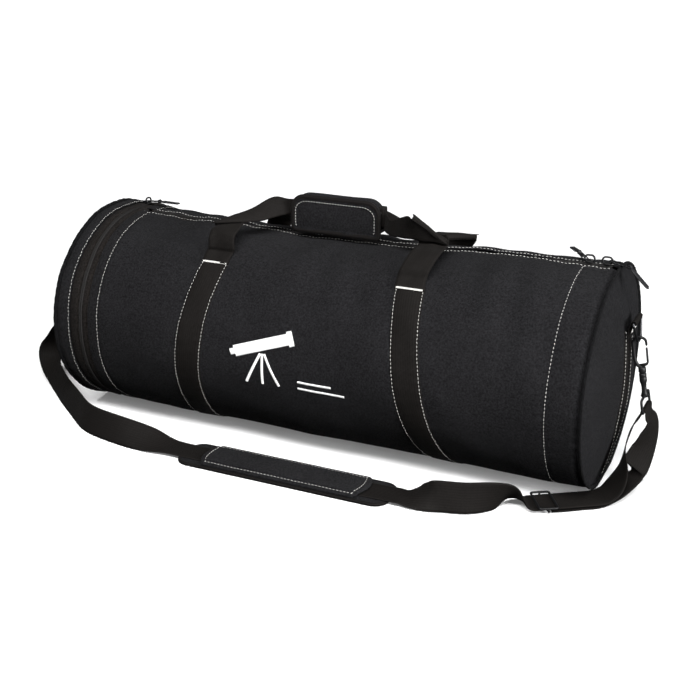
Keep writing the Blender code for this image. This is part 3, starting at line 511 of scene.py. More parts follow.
def tack(key, centre, along, across, normal, wide, tall, radius=0.0005):
    """A bar-tack: close zigzag stitches side by side."""
    count = int(wide / 0.0011)
    q = (np.arange(count) + 0.5) / count - 0.5
    c = np.asarray(centre)[None] + np.outer(q * wide, across)
    t = np.repeat(np.asarray(along, float)[None], count, 0)
    lean = np.where(np.arange(count) % 2, 1, -1)[:, None] * 0.1
    t = unit(t + lean * np.asarray(across)[None])
    n = np.repeat(unit(normal)[None], count, 0)
    SEWN.setdefault(key, []).append((c, t, n, np.full(count, tall), radius, 0.0))


def sew(name, key):
    """One mesh of all the stitches of a key."""
    rings = np.array([-1, -0.92, -0.6, 0, 0.6, 0.92, 1.0])
    widths = np.array([0.05, 0.55, 0.95, 1.0, 0.95, 0.55, 0.05])
    sides = 6
    ang = np.arange(sides) * 2 * np.pi / sides
    all_v, all_f, base = [], [], 0
    i, j = np.meshgrid(np.arange(len(rings) - 1), np.arange(sides), indexing="ij")
    low, high, beside = i * sides, (i + 1) * sides, (j + 1) % sides
    quads = np.stack([low + j, high + j, high + beside, low + beside], -1).reshape(-1, 4)
    for c, t, n, length, radius, sink in SEWN[key]:
        b = np.cross(t, n)
        bow = (1 - rings**2) * radius * 0.9 - sink
        for k in range(len(c)):
            centre = c[k] + np.outer(rings * length[k] / 2, t[k]) + np.outer(bow, n[k])
            ring = (np.cos(ang)[:, None] * n[k] + np.sin(ang)[:, None] * b[k]) * radius
            V = centre[:, None, :] + widths[:, None, None] * ring[None]
            all_v.append(V.reshape(-1, 3))
            all_f.append(quads + base)
            base += len(rings) * sides
    verts, faces = np.concatenate(all_v), np.concatenate(all_f)
    return build(name, verts, faces, np.zeros((len(faces), 4, 2)))


# ---------------------------------------------------------------- ribbons


def ribbon(name, C, S, width, thick, columns, seed=None):
    """The mesh of a flat strap with rounded edges, from its centre line and width directions."""
    C, S = np.asarray(C, float), np.asarray(S, float)
    T = unit(np.gradient(C, axis=0))
    S = unit(S - T * (S * T).sum(1, keepdims=True))
    F = np.cross(T, S)
    q = np.linspace(-1, 1, columns + 1)
    top = [(k, 0.5 if abs(k) < 0.99 else 0.28) for k in q]
    loop = top + [(k, -h) for k, h in reversed(top)]
    G = []
    wobble = waves(seed, 8, 0.05, 0.16)(C) * 0.0006 if seed is not None else np.zeros(len(C))
    for k in range(len(C)):
        G.append([C[k] + S[k] * s * (width / 2) + F[k] * (h * thick + wobble[k] * s * s) for s, h in loop])
    G = np.array(G)
    first, last = (end * 0 + end.mean(1, keepdims=True) for end in (G[:1], G[-1:]))
    G = np.concatenate([first, G, last])
    G[..., 2] = np.maximum(G[..., 2], 0.0004)
    return grid(name, G, wrap_j=True)


# ---------------------------------------------------------------- shoulder strap

PAD_Y, STRAP_Z = -0.228, 0.0073

STRAP_FLOOR = (
    (-0.466, -0.177, 0.024, 68.0),
    (-0.4076, -0.2177, 0.024, 68.0),
    (-0.3387, -0.2338, 0.0228, 60.0),
    (-0.2729, -0.2335, 0.0158, 34.0),
    (-0.235, -0.229, 0.0085, 6.0),
    (-0.215, PAD_Y, STRAP_Z, 0.0),
    (-0.19, PAD_Y, STRAP_Z, 0.0),
    (-0.145, PAD_Y, STRAP_Z, 0.0),
    (-0.065, PAD_Y, STRAP_Z, 0.0),
    (0.0, PAD_Y, STRAP_Z, 0.0),
    (0.065, PAD_Y, STRAP_Z, 0.0),
    (0.14, PAD_Y, STRAP_Z, 0.0),
    (0.186, PAD_Y, STRAP_Z, 0.0),
    (0.2, PAD_Y, STRAP_Z, 0.0),
    (0.212, PAD_Y, STRAP_Z, 0.0),
    (0.226, -0.2285, 0.01, 14.0),
    (0.244, -0.2305, 0.0165, 38.0),
    (0.27, -0.2325, 0.024, 64.0),
    (0.3145, -0.2226, 0.0255, 72.0),
    (0.349, -0.202, 0.0262, 90.0),
    (0.37, -0.179, 0.0225, 122.0),
    (0.386, -0.169, 0.013, 158.0),
    (0.4, -0.1625, 0.0072, 180.0),
    (0.42, -0.15, 0.0072, 180.0),
    (0.442, -0.136, 0.0072, 180.0),
    (0.462, -0.122, 0.0072, 180.0),
)

STRAP_UP = (
    (0.4628, -0.1214, 0.0072, -0.57, 0.82, 0.0),
    (0.488, -0.1038, 0.0076, -0.64, 0.77, 0.0),
    (0.502, -0.093, 0.011, -0.66, 0.75, 0.0),
    (0.511, -0.077, 0.02, -0.6, 0.8, 0.0),
    (0.515, -0.044, 0.042, -0.3, 0.95, 0.0),
    (0.515, -0.016, 0.072, -0.1, 1.0, 0.0),
    (0.521, -0.002, 0.1, 0.0, 1.0, 0.0),
)

STRAP_BACK = (
    (0.549, 0.0, 0.112, 0.15, 1.0, 0.0),
    (0.547, -0.0015, 0.09, 0.45, 0.9, 0.0),
    (0.541, -0.008, 0.063, 0.6, 0.75, 0.2),
    (0.532, -0.03, 0.035, 0.3, 0.7, 0.5),
    (0.518, -0.067, 0.014, -0.66, 0.75, 0.0),
    (0.493, -0.0995, 0.003, -0.64, 0.77, 0.0),
    (0.464, -0.1205, 0.0022, -0.57, 0.82, 0.0),
    (0.443, -0.1353, 0.0022, -0.57, 0.82, 0.0),
    (0.4252, -0.1467, 0.0022, -0.53, 0.85, 0.0),
)

STRAP_LEFT = (
    (-0.6, -0.002, 0.125, 0.0, 1.0, 0.0),
    (-0.623, -0.01, 0.098, 0.1, 1.0, 0.0),
    (-0.633, -0.024, 0.064, 0.2, 0.9, 0.2),
    (-0.621, -0.048, 0.039, 0.3, 0.7, 0.6),
    (-0.587, -0.08, 0.027, 0.3, 0.4, 1.0),
    (-0.535, -0.124, 0.024, 0.2, 0.3, 0.93),
    (-0.4667, -0.1765, 0.024, 0.2, 0.3, 0.93),
)

EYE_BAR = 0.15


def hanger(side):
    """Matrix of a hanging set: X outwards from the bag, Z up along the set, origin in the ring's top bar."""
    tag = {-1: "left", 1: "right"}[side]
    up = Vector(JOINTS[tag + "_swivel_turn"]["axis"])
    across = Vector((0, side, 0))
    out = across.cross(up)
    top = Vector(JOINTS[tag + "_ring_hinge"]["pos_m"])
    return Matrix.Translation(top) @ axes(out, across, up)


def placed(matrix, points):
    return np.array([tuple(matrix @ Vector(tuple(p))) for p in points])


def over_bar(bar, turn):
    """Stations of the strap as it goes over an eye's lower bar."""
    radius = 0.0037
    route = [(-radius - 0.0016, -0.01), (-radius - 0.0003, -0.0035)]
    route += [(-radius * math.cos(math.pi * i / 6), radius * math.sin(math.pi * i / 6)) for i in range(7)]
    route += [(radius + 0.0003, -0.0035), (radius + 0.0016, -0.01)]
    return [(bar.x + turn * x, 0.0, bar.z + z, 0.0, 1.0, 0.0) for x, z in route]


def floor_rows():
    """The strap on the floor as centre points and width directions."""
    R = smooth_path(STRAP_FLOOR, 8)
    C = R[:, :3]
    ahead = unit(np.gradient(C, axis=0))
    level = unit(np.stack([-ahead[:, 1], ahead[:, 0], 0 * ahead[:, 0]], -1))
    angle = np.radians(R[:, 3])[:, None]
    return C, level * np.cos(angle) + np.array([0, 0, 1.0]) * np.sin(angle)


def lay_strap(name, C, S, seed, nodes):
    """One length of the shoulder strap."""
    mesh = ribbon(name, C, S, WEB, 0.0018, 12, seed=seed)
    strap = show(name, mesh, WEBBING, None, nodes)
    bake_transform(strap)


def make_strap():
    """The strap in two lengths that meet inside the shoulder pad's sleeve."""
    C, S = floor_rows()
    meet = int(np.abs(C[:, 0] + 0.146).argmin())
    bar = hanger(-1) @ Vector((0, 0, -EYE_BAR))
    tucked = (bar.x + 0.006, 0.0, bar.z - 0.036, 0.0, 1.0, 0.0)
    R = smooth_path((tucked, *over_bar(bar, -1), *STRAP_LEFT), 6)
    way = 1 if np.dot(R[-1, 3:6], S[0]) > 0 else -1
    line = np.concatenate([R[:-1, :3], C[1 : meet + 1]])
    wide = np.concatenate([way * R[:-1, 3:6], S[1 : meet + 1]])
    lay_strap("strap_left", line, wide, 21,
        ("strap_left_rise",))
    bar = hanger(1) @ Vector((0, 0, -EYE_BAR))
    R = smooth_path((*STRAP_UP, *over_bar(bar, 1), *STRAP_BACK), 6)
    way = 1 if np.dot(R[0, 3:6], S[-1]) > 0 else -1
    line, wide = np.concatenate([C[meet:], R[:, :3]]), np.concatenate([S[meet:], way * R[:, 3:6]])
    lay_strap("strap_right", line, wide, 22,
        ("strap_main", "strap_right_loop"))


make_strap()

# ---------------------------------------------------------------- bag body


def shell_profile(x0, x1, step):
    """Outer cloth from x0, where its edge is turned in, to x1."""
    rows = [(x0 + 0.0035, -0.003), (x0 + 0.0006, -0.0026), (x0, -0.0012), (x0 + 0.0004, -0.0002)]
    return rows + [(x, 0.0) for x in np.arange(x0 + 0.0014, x1 - 0.0014, step)]


def slit_angles(steps, half=SLIT):
    """Angles round the bag, open at the top, with small turned-in hems at both edges."""
    mid = np.linspace(half + 0.01, 2 * math.pi - half - 0.01, steps)
    head = np.array([half + 0.01, half + 0.001, half, half + 0.003])
    offs = np.array([-0.0028, -0.0022, -0.001, -0.0001])
    angles = np.concatenate([head, mid, 2 * math.pi - head[::-1]])
    more = np.concatenate([offs, np.zeros(steps), offs[::-1]])
    return angles, more


def make_body():
    angles, more = slit_angles(280)

    def sheet(profile):
        xs, offs = np.array(profile).T
        return skin(xs[:, None], angles[None, :], offs[:, None] + more[None, :])

    profile = shell_profile(-0.3864, END_X + 0.0006, 0.0045) + [(END_X + 0.001, -0.0015)]
    mesh = grid("body_cloth", sheet(profile))
    show("body_cloth", mesh, FABRIC, "case", ("outer_shell", "right_rim_band"))

    profile = [(-0.3866, -0.0024), (-0.3866, -0.0006), (-0.3874, 0.0003)]
    profile += [(x, 0.0007) for x in np.arange(-0.39, -0.406, -0.003)]
    profile += [(-0.4068, 0.0007), (-0.408, 0.0001), (-0.4084, -0.0008), (-0.408, -0.0018),
        (-0.406, -0.0022)]
    mesh = grid("flap_cloth", sheet(profile), flip=True)
    show("flap_cloth", mesh, FABRIC_TRIM, "case", ("storm_flap",))

    for name, node, mat, slot, low, high in (
        ("foam_layer", "foam_padding", FOAM, "foam", -0.0048, -0.0116),
        ("lining_layer", "inner_lining", LINING, "lining", -0.0119, -0.0128),
    ):
        half = math.asin(0.018 / HALF_WIDTH)
        a = np.linspace(half, 2 * math.pi - half, 120)
        xs = np.linspace(-0.3842, 0.46, 60)
        outer = skin(xs[:, None], a[None, :], low)
        inner = skin(xs[:, None], a[None, :], high)
        G = np.concatenate([outer, inner[::-1]])
        show(name, grid(name, G, wrap_i=True), mat, "case", (node,))

    a = np.linspace(SLIT + 0.018, 2 * math.pi - SLIT - 0.018, 360)
    stitch_skin("case", SEAM_END, a, 0.0002)
    stitch_skin("case", SEAM_FLAP - 0.0003, a, 0.0009)
    xs = np.linspace(-0.404, 0.465, 300)
    for side in (-1, 1):
        stitch_skin("case", xs, np.full_like(xs, side * 0.0118 / HALF_WIDTH), 0.0003)


TOOTH = 0.0017  # pitch of the zips' teeth


def make_main_zip():
    """The two woven tapes, and the closed coil between them."""
    xs = np.linspace(-0.3945, 0.466, 420)
    for name, side in (("front", 1), ("rear", -1)):
        y = np.linspace(0.002, 0.017, 6)
        a = side * y / HALF_WIDTH
        top = skin(xs[:, None], a[None, :], -0.003, folds=0.3)
        low = skin(xs[:, None], a[None, :], -0.0038, folds=0.3)
        G = np.concatenate([top, low[:, ::-1]], axis=1)
        name = "main_zip_tape_" + name
        show(name + "_weave", grid(name + "_weave", G, wrap_j=True), TAPE, "case", (name,))
    xs = np.linspace(-0.386, 0.466, 2400)
    shape = [(-0.0026, -0.0028), (-0.0025, -0.0014), (-0.0017, -0.0006), (-0.0004, -0.0008),
        (0.0004, -0.0008)]
    shape += [(0.0017, -0.0006), (0.0025, -0.0014), (0.0026, -0.0028)]
    y, off = np.array(shape).T
    tooth = np.abs(np.sin(np.pi * xs / TOOTH))[:, None] * np.where(np.abs(y) > 0.0006, 0.00055, 0.0002)[None]
    P = skin(xs[:, None], (y / HALF_WIDTH)[None, :], off[None, :] + tooth - 0.0002, folds=0.3)
    show("main_zip_coil", grid("main_zip_coil", P), COIL, "case", ("main_zip_chain",))


ZIP_X = -0.4239  # middle of the end zip


def make_end_zip():
    """The zip round the lid: a woven tape and half of the coil on each side."""
    ridge_pitch = TOOTH / MEAN_R
    fine = np.linspace(math.radians(-151), math.radians(151), 3000)
    whole = around(420)
    for body, side in (("case", 1), ("lid", -1)):
        tape = [(ZIP_X + side * 0.003, -0.0012), (ZIP_X + side * 0.003, -0.0008),
            (ZIP_X + side * 0.01, -0.001)]
        far = ZIP_X + side * (0.02 if side > 0 else 0.0262)
        tape += [(far, -0.003), (far, -0.004), (ZIP_X + side * 0.003, -0.003)]
        name = "end_zip_tape_" + body
        mesh = ring_piece(name + "_weave", tape, whole, close=True)
        show(name + "_weave", mesh, TAPE, body, (name,))
        shape = [(0.0002, -0.003), (0.0002, 0.0004), (0.0012, 0.001), (0.0026, 0.0008), (0.0034, -0.0002),
            (0.0036, -0.0028)]
        profile = [(ZIP_X + side * x, off - 0.0006) for x, off in shape]

        def ridge(a, shift=side * 0.25):
            return 0.0006 * np.abs(np.sin(np.pi * (a / ridge_pitch + shift)))

        name = "end_zip_chain_" + body
        mesh = ring_piece(name + "_coil", profile, fine, wrap=False, ridge=ridge)
        show(name + "_coil", mesh, COIL, body, (name,))


def make_lid():
    """The narrow band of cloth round the lid, with its edge folded over the zip tape."""
    profile = [(-END_X - 0.001, -0.0015)] + [(x, 0.0) for x in np.arange(-END_X, -0.4495, 0.0035)]
    profile += [(-0.449, 0.0004), (-0.4478, 0.0001), (-0.4474, -0.0008), (-0.4478, -0.0018),
        (-0.45, -0.0022)]
    show("lid_cloth", ring_piece("lid_cloth", profile, around(300)), FABRIC, "lid", ("lid_band",))
    a = np.linspace(0, 2 * math.pi, 400)
    stitch_skin("lid", SEAM_LID - 0.0006, a, 0.0004)


FACE_HALF_WIDTH, FACE_HALF_HEIGHT = HALF_WIDTH - 0.005, HALF_HEIGHT - 0.005


def dome(share):
    return 0.026 * (1 - share * share)


end_folds = waves(31, 10, 0.06, 0.2)


def end_surface(side, share, a, lift=0.0):
    """Points on the bulged cloth of an end, at a share of the way from its middle to its rim."""
    share, a = np.broadcast_arrays(np.asarray(share, float), np.asarray(a, float))
    y = -FACE_HALF_WIDTH * np.sin(a) * share
    z = CENTRE_Z + np.maximum(FACE_HALF_HEIGHT * np.cos(a), -CENTRE_Z + 0.0078) * share
    P = np.stack([side * (END_X + 0.0018 + dome(share)), y, z], -1)
    bulge = 0.0014 * end_folds(P) * np.sin(np.pi * np.clip(share, 0, 1)) ** 0.5
    gather = 0.0007 * np.exp(-(1 - share) / 0.09) * pucker(a * MEAN_R, side * 0.4, 0.019)
    P[..., 0] += side * (bulge + gather + lift)
    return P


def face_x(side, y, z, lift):
    """X of the bulged end at a point of its face."""
    wide = np.hypot(y / FACE_HALF_WIDTH, (z - CENTRE_Z) / FACE_HALF_HEIGHT)
    a = np.arctan2(-y / FACE_HALF_WIDTH, (z - CENTRE_Z) / FACE_HALF_HEIGHT)
    return end_surface(side, wide, a, lift)[..., 0]


def make_end(side):
    tag, body = {-1: ("lid", "lid"), 1: ("right", "case")}[side]
    shares = np.concatenate([np.linspace(0.0, 0.9, 26), np.linspace(0.92, 1.0, 8)])
    P = end_surface(side, shares[:, None], around(260)[None, :])
    rim = skin(side * (END_X + 0.0012) + 0 * around(260), around(260), -0.004)[None]
    P = np.concatenate([P, rim])
    show(tag + "_face_cloth", grid(tag + "_face_cloth", P, wrap_j=True, flip=side < 0), FABRIC, body,
        (tag + "_panel",))

    shares = np.linspace(0.004, 0.95, 24)
    front = end_surface(side, shares[:, None], around(160)[None, :], -0.003)
    rear = end_surface(side, shares[::-1, None], around(160)[None, :], -0.0085)
    mesh = grid(tag + "_foam_disc", np.concatenate([front, rear]), wrap_i=True, wrap_j=True, flip=side < 0)
    show(tag + "_foam_disc", mesh, FOAM, body, (tag + "_foam",))

    t = around(12)
    centre = side * (END_X + 0.0034)
    profile = [(centre + 0.0036 * math.cos(k), -0.0008 + 0.0036 * math.sin(k)) for k in t]
    mesh = ring_piece(tag + "_cord_piping", profile, around(320), close=True)
    show(tag + "_cord_piping", mesh, PIPING, body, (tag + "_piping",))
    z = np.linspace(0.264, 0.0105, 110)
    y = np.linspace(-0.023, 0.023, 13)
    Y, Z = np.meshgrid(y, z)
    edge = np.where(np.abs(Y) > 0.0225, 0.0002, 0.002)
    X = face_x(side, Y, Z, edge)
    P = np.stack([X, Y, Z], -1)
    name = tag + "_face_strip"
    show(name + "_web", grid(name + "_web", P, flip=side < 0), WEBBING, body, (name,))
    for q in (-0.0205, 0.0205):
        line = np.stack([face_x(side, q + 0 * z, z, 0.0022), q + 0 * z, z], -1)
        stitch_along(tag, line, np.tile([side, 0, 0.1], (len(z), 1)))
    make_ring_loop(side, tag, body)


def make_ring_loop(side, tag, body):
    """Webbing folded over the ring's top bar and tacked down below it."""
    top = Vector(JOINTS[{1: "right", -1: "left"}[side] + "_ring_hinge"]["pos_m"])
    r = 0.0036
    back = face_x(1, np.array(0.0), np.array(top.z - 0.03), 0.0034) - abs(top.x)
    path = [(float(back), -0.03), (-0.0078, -0.016), (-0.0062, -0.006)]
    path += [(r * math.cos(t), r * math.sin(t)) for t in np.radians(np.arange(180, -31, -15))]
    path += [(0.0006, -0.005), (-0.0028, -0.0088), (-0.0048, -0.0135), (-0.0056, -0.0185)]
    C = np.array([(side * (abs(top.x) + x), 0.0, top.z + z) for x, z in path])
    C = smooth_path(C, 3)
    S = np.tile([0, 1.0, 0], (len(C), 1))
    name = tag + "_ring_loop"
    mesh = ribbon(name + "_web", C, S, 0.046, 0.0017, 10)
    show(name + "_web", mesh, WEBBING, body, (name,))
    for k, z in enumerate((-0.0125, -0.0175)):
        centre = (side * (abs(top.x) - 0.0035 - 0.0008 * k), 0, top.z + z)
        tack(tag, centre, (0, 0, 1), (0, 1, 0), (side, 0, 0.3), 0.034, 0.003)


def make_girth(side):
    """Webbing sewn round the body, with rows of topstitching and a bar-tack where each handle leaves it."""
    name = {-1: "girth_strip_left", 1: "girth_strip_right"}[side]
    a = np.linspace(TACK - 0.02, 2 * math.pi - TACK + 0.02, 260)
    fold = np.minimum(a, 2 * math.pi - a)
    q = np.linspace(-WEB / 2, WEB / 2, 15)
    off = np.where(np.abs(q) > WEB / 2 - 0.0005, 0.0002,
        np.where(np.abs(q) > WEB / 2 - 0.0025, 0.0017, 0.0021))
    X = girth_x(side, fold)[:, None] + q[None, :]
    P = skin(X, a[:, None] + 0 * q[None], off[None, :])
    P[..., 2] = np.maximum(P[..., 2], 0.0001)
    show(name + "_web", grid(name + "_web", P, flip=True), WEBBING, "case", (name,))
    for edge in (-1, 1):
        stitch_skin("case", girth_x(side, fold) + edge * (WEB / 2 - 0.0022), a, 0.0021)
    for front in (1, -1):
        b = (TACK + 0.014) * front
        x = girth_x(side, abs(b))
        p, up = skin(x, b, 0.003), skin(x, b - 0.01 * front, 0.003)
        normal = skin_normal(np.array(0.0), np.array(b))
        tack("case", p, unit(up - p), (1, 0, 0), normal, 0.0455, 0.004, radius=0.00065)


make_body()
make_main_zip()
make_end_zip()
make_lid()
for end in (-1, 1):
    make_end(end)
    make_girth(end)

# ---------------------------------------------------------------- carry handles

# Each leg: points up from the bag, its slanting fold, the slope there in degrees, and then rows of
# centre, width direction and width.
LEGS = {
    "handle_leg_front_left": (
        ((-0.18, -0.108, 0.342), (-0.1815, -0.105, 0.356), (-0.181, -0.095, 0.368)),
        (-0.177, -0.065, 0.381), 24.0,
        ((-0.134, -0.048, 0.397, 0.1, 0.7, 0.7, 0.046), (-0.115, -0.034, 0.402, 0.0, 0.45, 0.9, 0.038),
         (-0.096, -0.021, 0.402, 0.0, 0.1, 1.0, 0.027), (-0.08, -0.0155, 0.401, 0.0, 0.0, 1.0, 0.03)),
    ),
    "handle_leg_front_right": (
        ((0.174, -0.1, 0.349), (0.178, -0.072, 0.364), (0.18, -0.046, 0.371), (0.18, -0.036, 0.379),
         (0.1785, -0.04, 0.39)),
        (0.1767, -0.048, 0.401), 120.0,
        ((0.145, -0.056, 0.4, 0.05, 0.35, -0.93, 0.046), (0.1276, -0.048, 0.396, 0.05, 0.1, -1.0, 0.036),
         (0.0999, -0.03, 0.389, 0.0, -0.1, -1.0, 0.027), (0.083, -0.0155, 0.394, 0.0, 0.0, -1.0, 0.032)),
    ),
    "handle_leg_rear_left": (
        ((-0.178, 0.101, 0.343), (-0.179, 0.088, 0.353), (-0.179, 0.076, 0.358)),
        (-0.178, 0.046, 0.364), 12.0,
        ((-0.138, 0.033, 0.372, 0.25, -0.9, 0.1, 0.044), (-0.118, 0.018, 0.378, 0.0, -0.6, 0.75, 0.034),
         (-0.1, 0.002, 0.389, 0.0, -0.1, 1.0, 0.026), (-0.08, -0.0085, 0.397, 0.0, 0.0, 1.0, 0.024)),
    ),
    "handle_leg_rear_right": (
        ((0.18, 0.101, 0.343), (0.186, 0.088, 0.353), (0.189, 0.076, 0.358)),
        (0.19, 0.046, 0.361), 8.0,
        ((0.15, 0.03, 0.369, 0.25, 0.9, -0.1, 0.046), (0.125, 0.013, 0.374, 0.0, 0.6, -0.75, 0.036),
         (0.102, -0.001, 0.386, 0.0, 0.1, -1.0, 0.03), (0.083, -0.0085, 0.396, 0.0, 0.0, -1.0, 0.03)),
    ),
}
FOLD_RADIUS = 0.004


def leg_rows(side, front, rising, fold, slope, going):
    """Rows of centre and half-width vector: up from the foot, over the crease, and on to the grip."""
    rows = []
    for angle in (TACK + 0.02, TACK - 0.04, TACK - 0.1):
        lift = 0.0022 + 0.02 * max(0.0, TACK - angle)
        rows.append((*skin(girth_x(side, angle), angle * front, lift), WEB / 2, 0, 0))
    rows += [(*p, WEB / 2, 0, 0) for p in rising]
    c, s = math.cos(math.radians(slope)), math.sin(math.radians(slope))
    ahead, over, towards = np.array([0, front * c, s]), np.array([0, -front * s, c]), np.array([-side, 0, 0])
    crease, beyond = unit(ahead + towards), unit(ahead - towards)
    for turn in np.linspace(0, math.pi, 7):
        p = np.array(fold) + FOLD_RADIUS * (beyond * math.sin(turn) + over * (1 - math.cos(turn)))
        rows.append((*p, *(crease * -side * WEB / math.sqrt(2))))
    return rows + [(*row[:3], *(unit(row[3:6]) * row[6] / 2)) for row in going]


def make_legs():
    """The free webbing of both handles: each leg rises from its bar-tack and folds over towards the grip."""
    q = np.linspace(-1, 1, 15)
    for number, (name, (rising, fold, slope, going)) in enumerate(LEGS.items()):
        side = -1 if name.endswith("left") else 1
        front = 1 if "front" in name else -1
        R = smooth_path(leg_rows(side, front, rising, fold, slope, going), 8)
        C, H = R[:, :3], R[:, 3:6]
        T = unit(np.gradient(C, axis=0))
        F = unit(np.cross(T, H))
        sheet = C[:, None] + H[:, None] * q[None, :, None]
        fine = waves(40 + number, 8, 0.02, 0.07)(sheet)[..., None] * 0.0009
        edge = np.where(np.abs(q) > 0.99, 0.00045, 0.00095)[None, :, None]
        G = np.concatenate([sheet + F[:, None] * (fine + edge),
            (sheet + F[:, None] * (fine - edge))[:, ::-1]], axis=1)
        mesh = grid(name + "_web", G, wrap_j=True)
        leg = show(name + "_web", mesh, WEBBING, None, (name,))
        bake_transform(leg)


make_legs()


def rounded_outline(x0, x1, y0, y1, radii, steps=8):
    """Points round a rectangle, counter-clockwise from its top right corner; radii for its four corners."""
    corners = ((x1, y1, 0), (x0, y1, 90), (x0, y0, 180), (x1, y0, 270))
    out = []
    for (x, y, start), r in zip(corners, radii):
        cx, cy = (x - r if x == x1 else x + r), (y - r if y == y1 else y + r)
        for t in np.radians(start + np.linspace(0, 90, steps)):
            out.append((cx + r * math.cos(t), cy + r * math.sin(t)))
    return np.array(out)


def even(line, step, closed=True):
    """The same line with even steps."""
    P = np.concatenate([line, line[:1]]) if closed else line
    s = np.concatenate([[0], np.cumsum(np.linalg.norm(np.diff(P, axis=0), axis=1))])
    q = np.linspace(0, s[-1], max(8, int(s[-1] / step)), endpoint=not closed)
    return np.stack([np.interp(q, s, P[:, k]) for k in range(P.shape[1])], -1)


def padded_panel(name, outline, place, thick, puff, channel, seed):
    """A sewn, filled panel that swells inwards from its rim, with a sunk channel along the rim."""
    rim = even(outline, 0.004)
    centre = rim.mean(0)
    depth = np.array([0.0, 0.0012, 0.003, 0.0055, 0.0085, 0.012, 0.018, 0.028])
    half = min(np.ptp(rim[:, 0]), np.ptp(rim[:, 1])) / 2
    rest = np.linspace(0.028 if half > 0.03 else 0.018, half, 8)[1:]
    depth = np.concatenate([depth[depth < half * 0.9], rest[rest < half]])
    depth = np.unique(np.concatenate([depth, [half]]))
    size = np.array([np.ptp(rim[:, 0]), np.ptp(rim[:, 1])]) / 2
    wave = waves(seed, 9, 0.02, 0.08)

    def layer(sign):
        rows = []
        for d in depth:
            flat = centre + (rim - centre) * np.maximum(1 - d / size, 0.0)
            P = np.column_stack([flat, np.full(len(flat), 0.0)])
            h = thick / 2 * min(1.0, math.sqrt(d / 0.0012 + 0.15))
            if sign > 0:
                swell = puff * (1 - np.exp(-d / 0.01))
                swell -= puff * 0.75 * math.exp(-(((d - channel) / 0.0022) ** 2))
                h = h + swell + 0.0004 * wave(P) * min(1, d / 0.01)
            P[:, 2] = sign * np.maximum(h, 0.0002)
            rows.append(P)
        return rows

    rows = layer(-1)[::-1] + layer(1)
    G = np.array([placed(place, r) for r in rows])
    return grid(name, G, wrap_j=True)


SHOULDER = 0.024  # radius of the wrap's rounded top corners
QUARTER_TURN = np.array([[0, -1.0], [1.0, 0]])


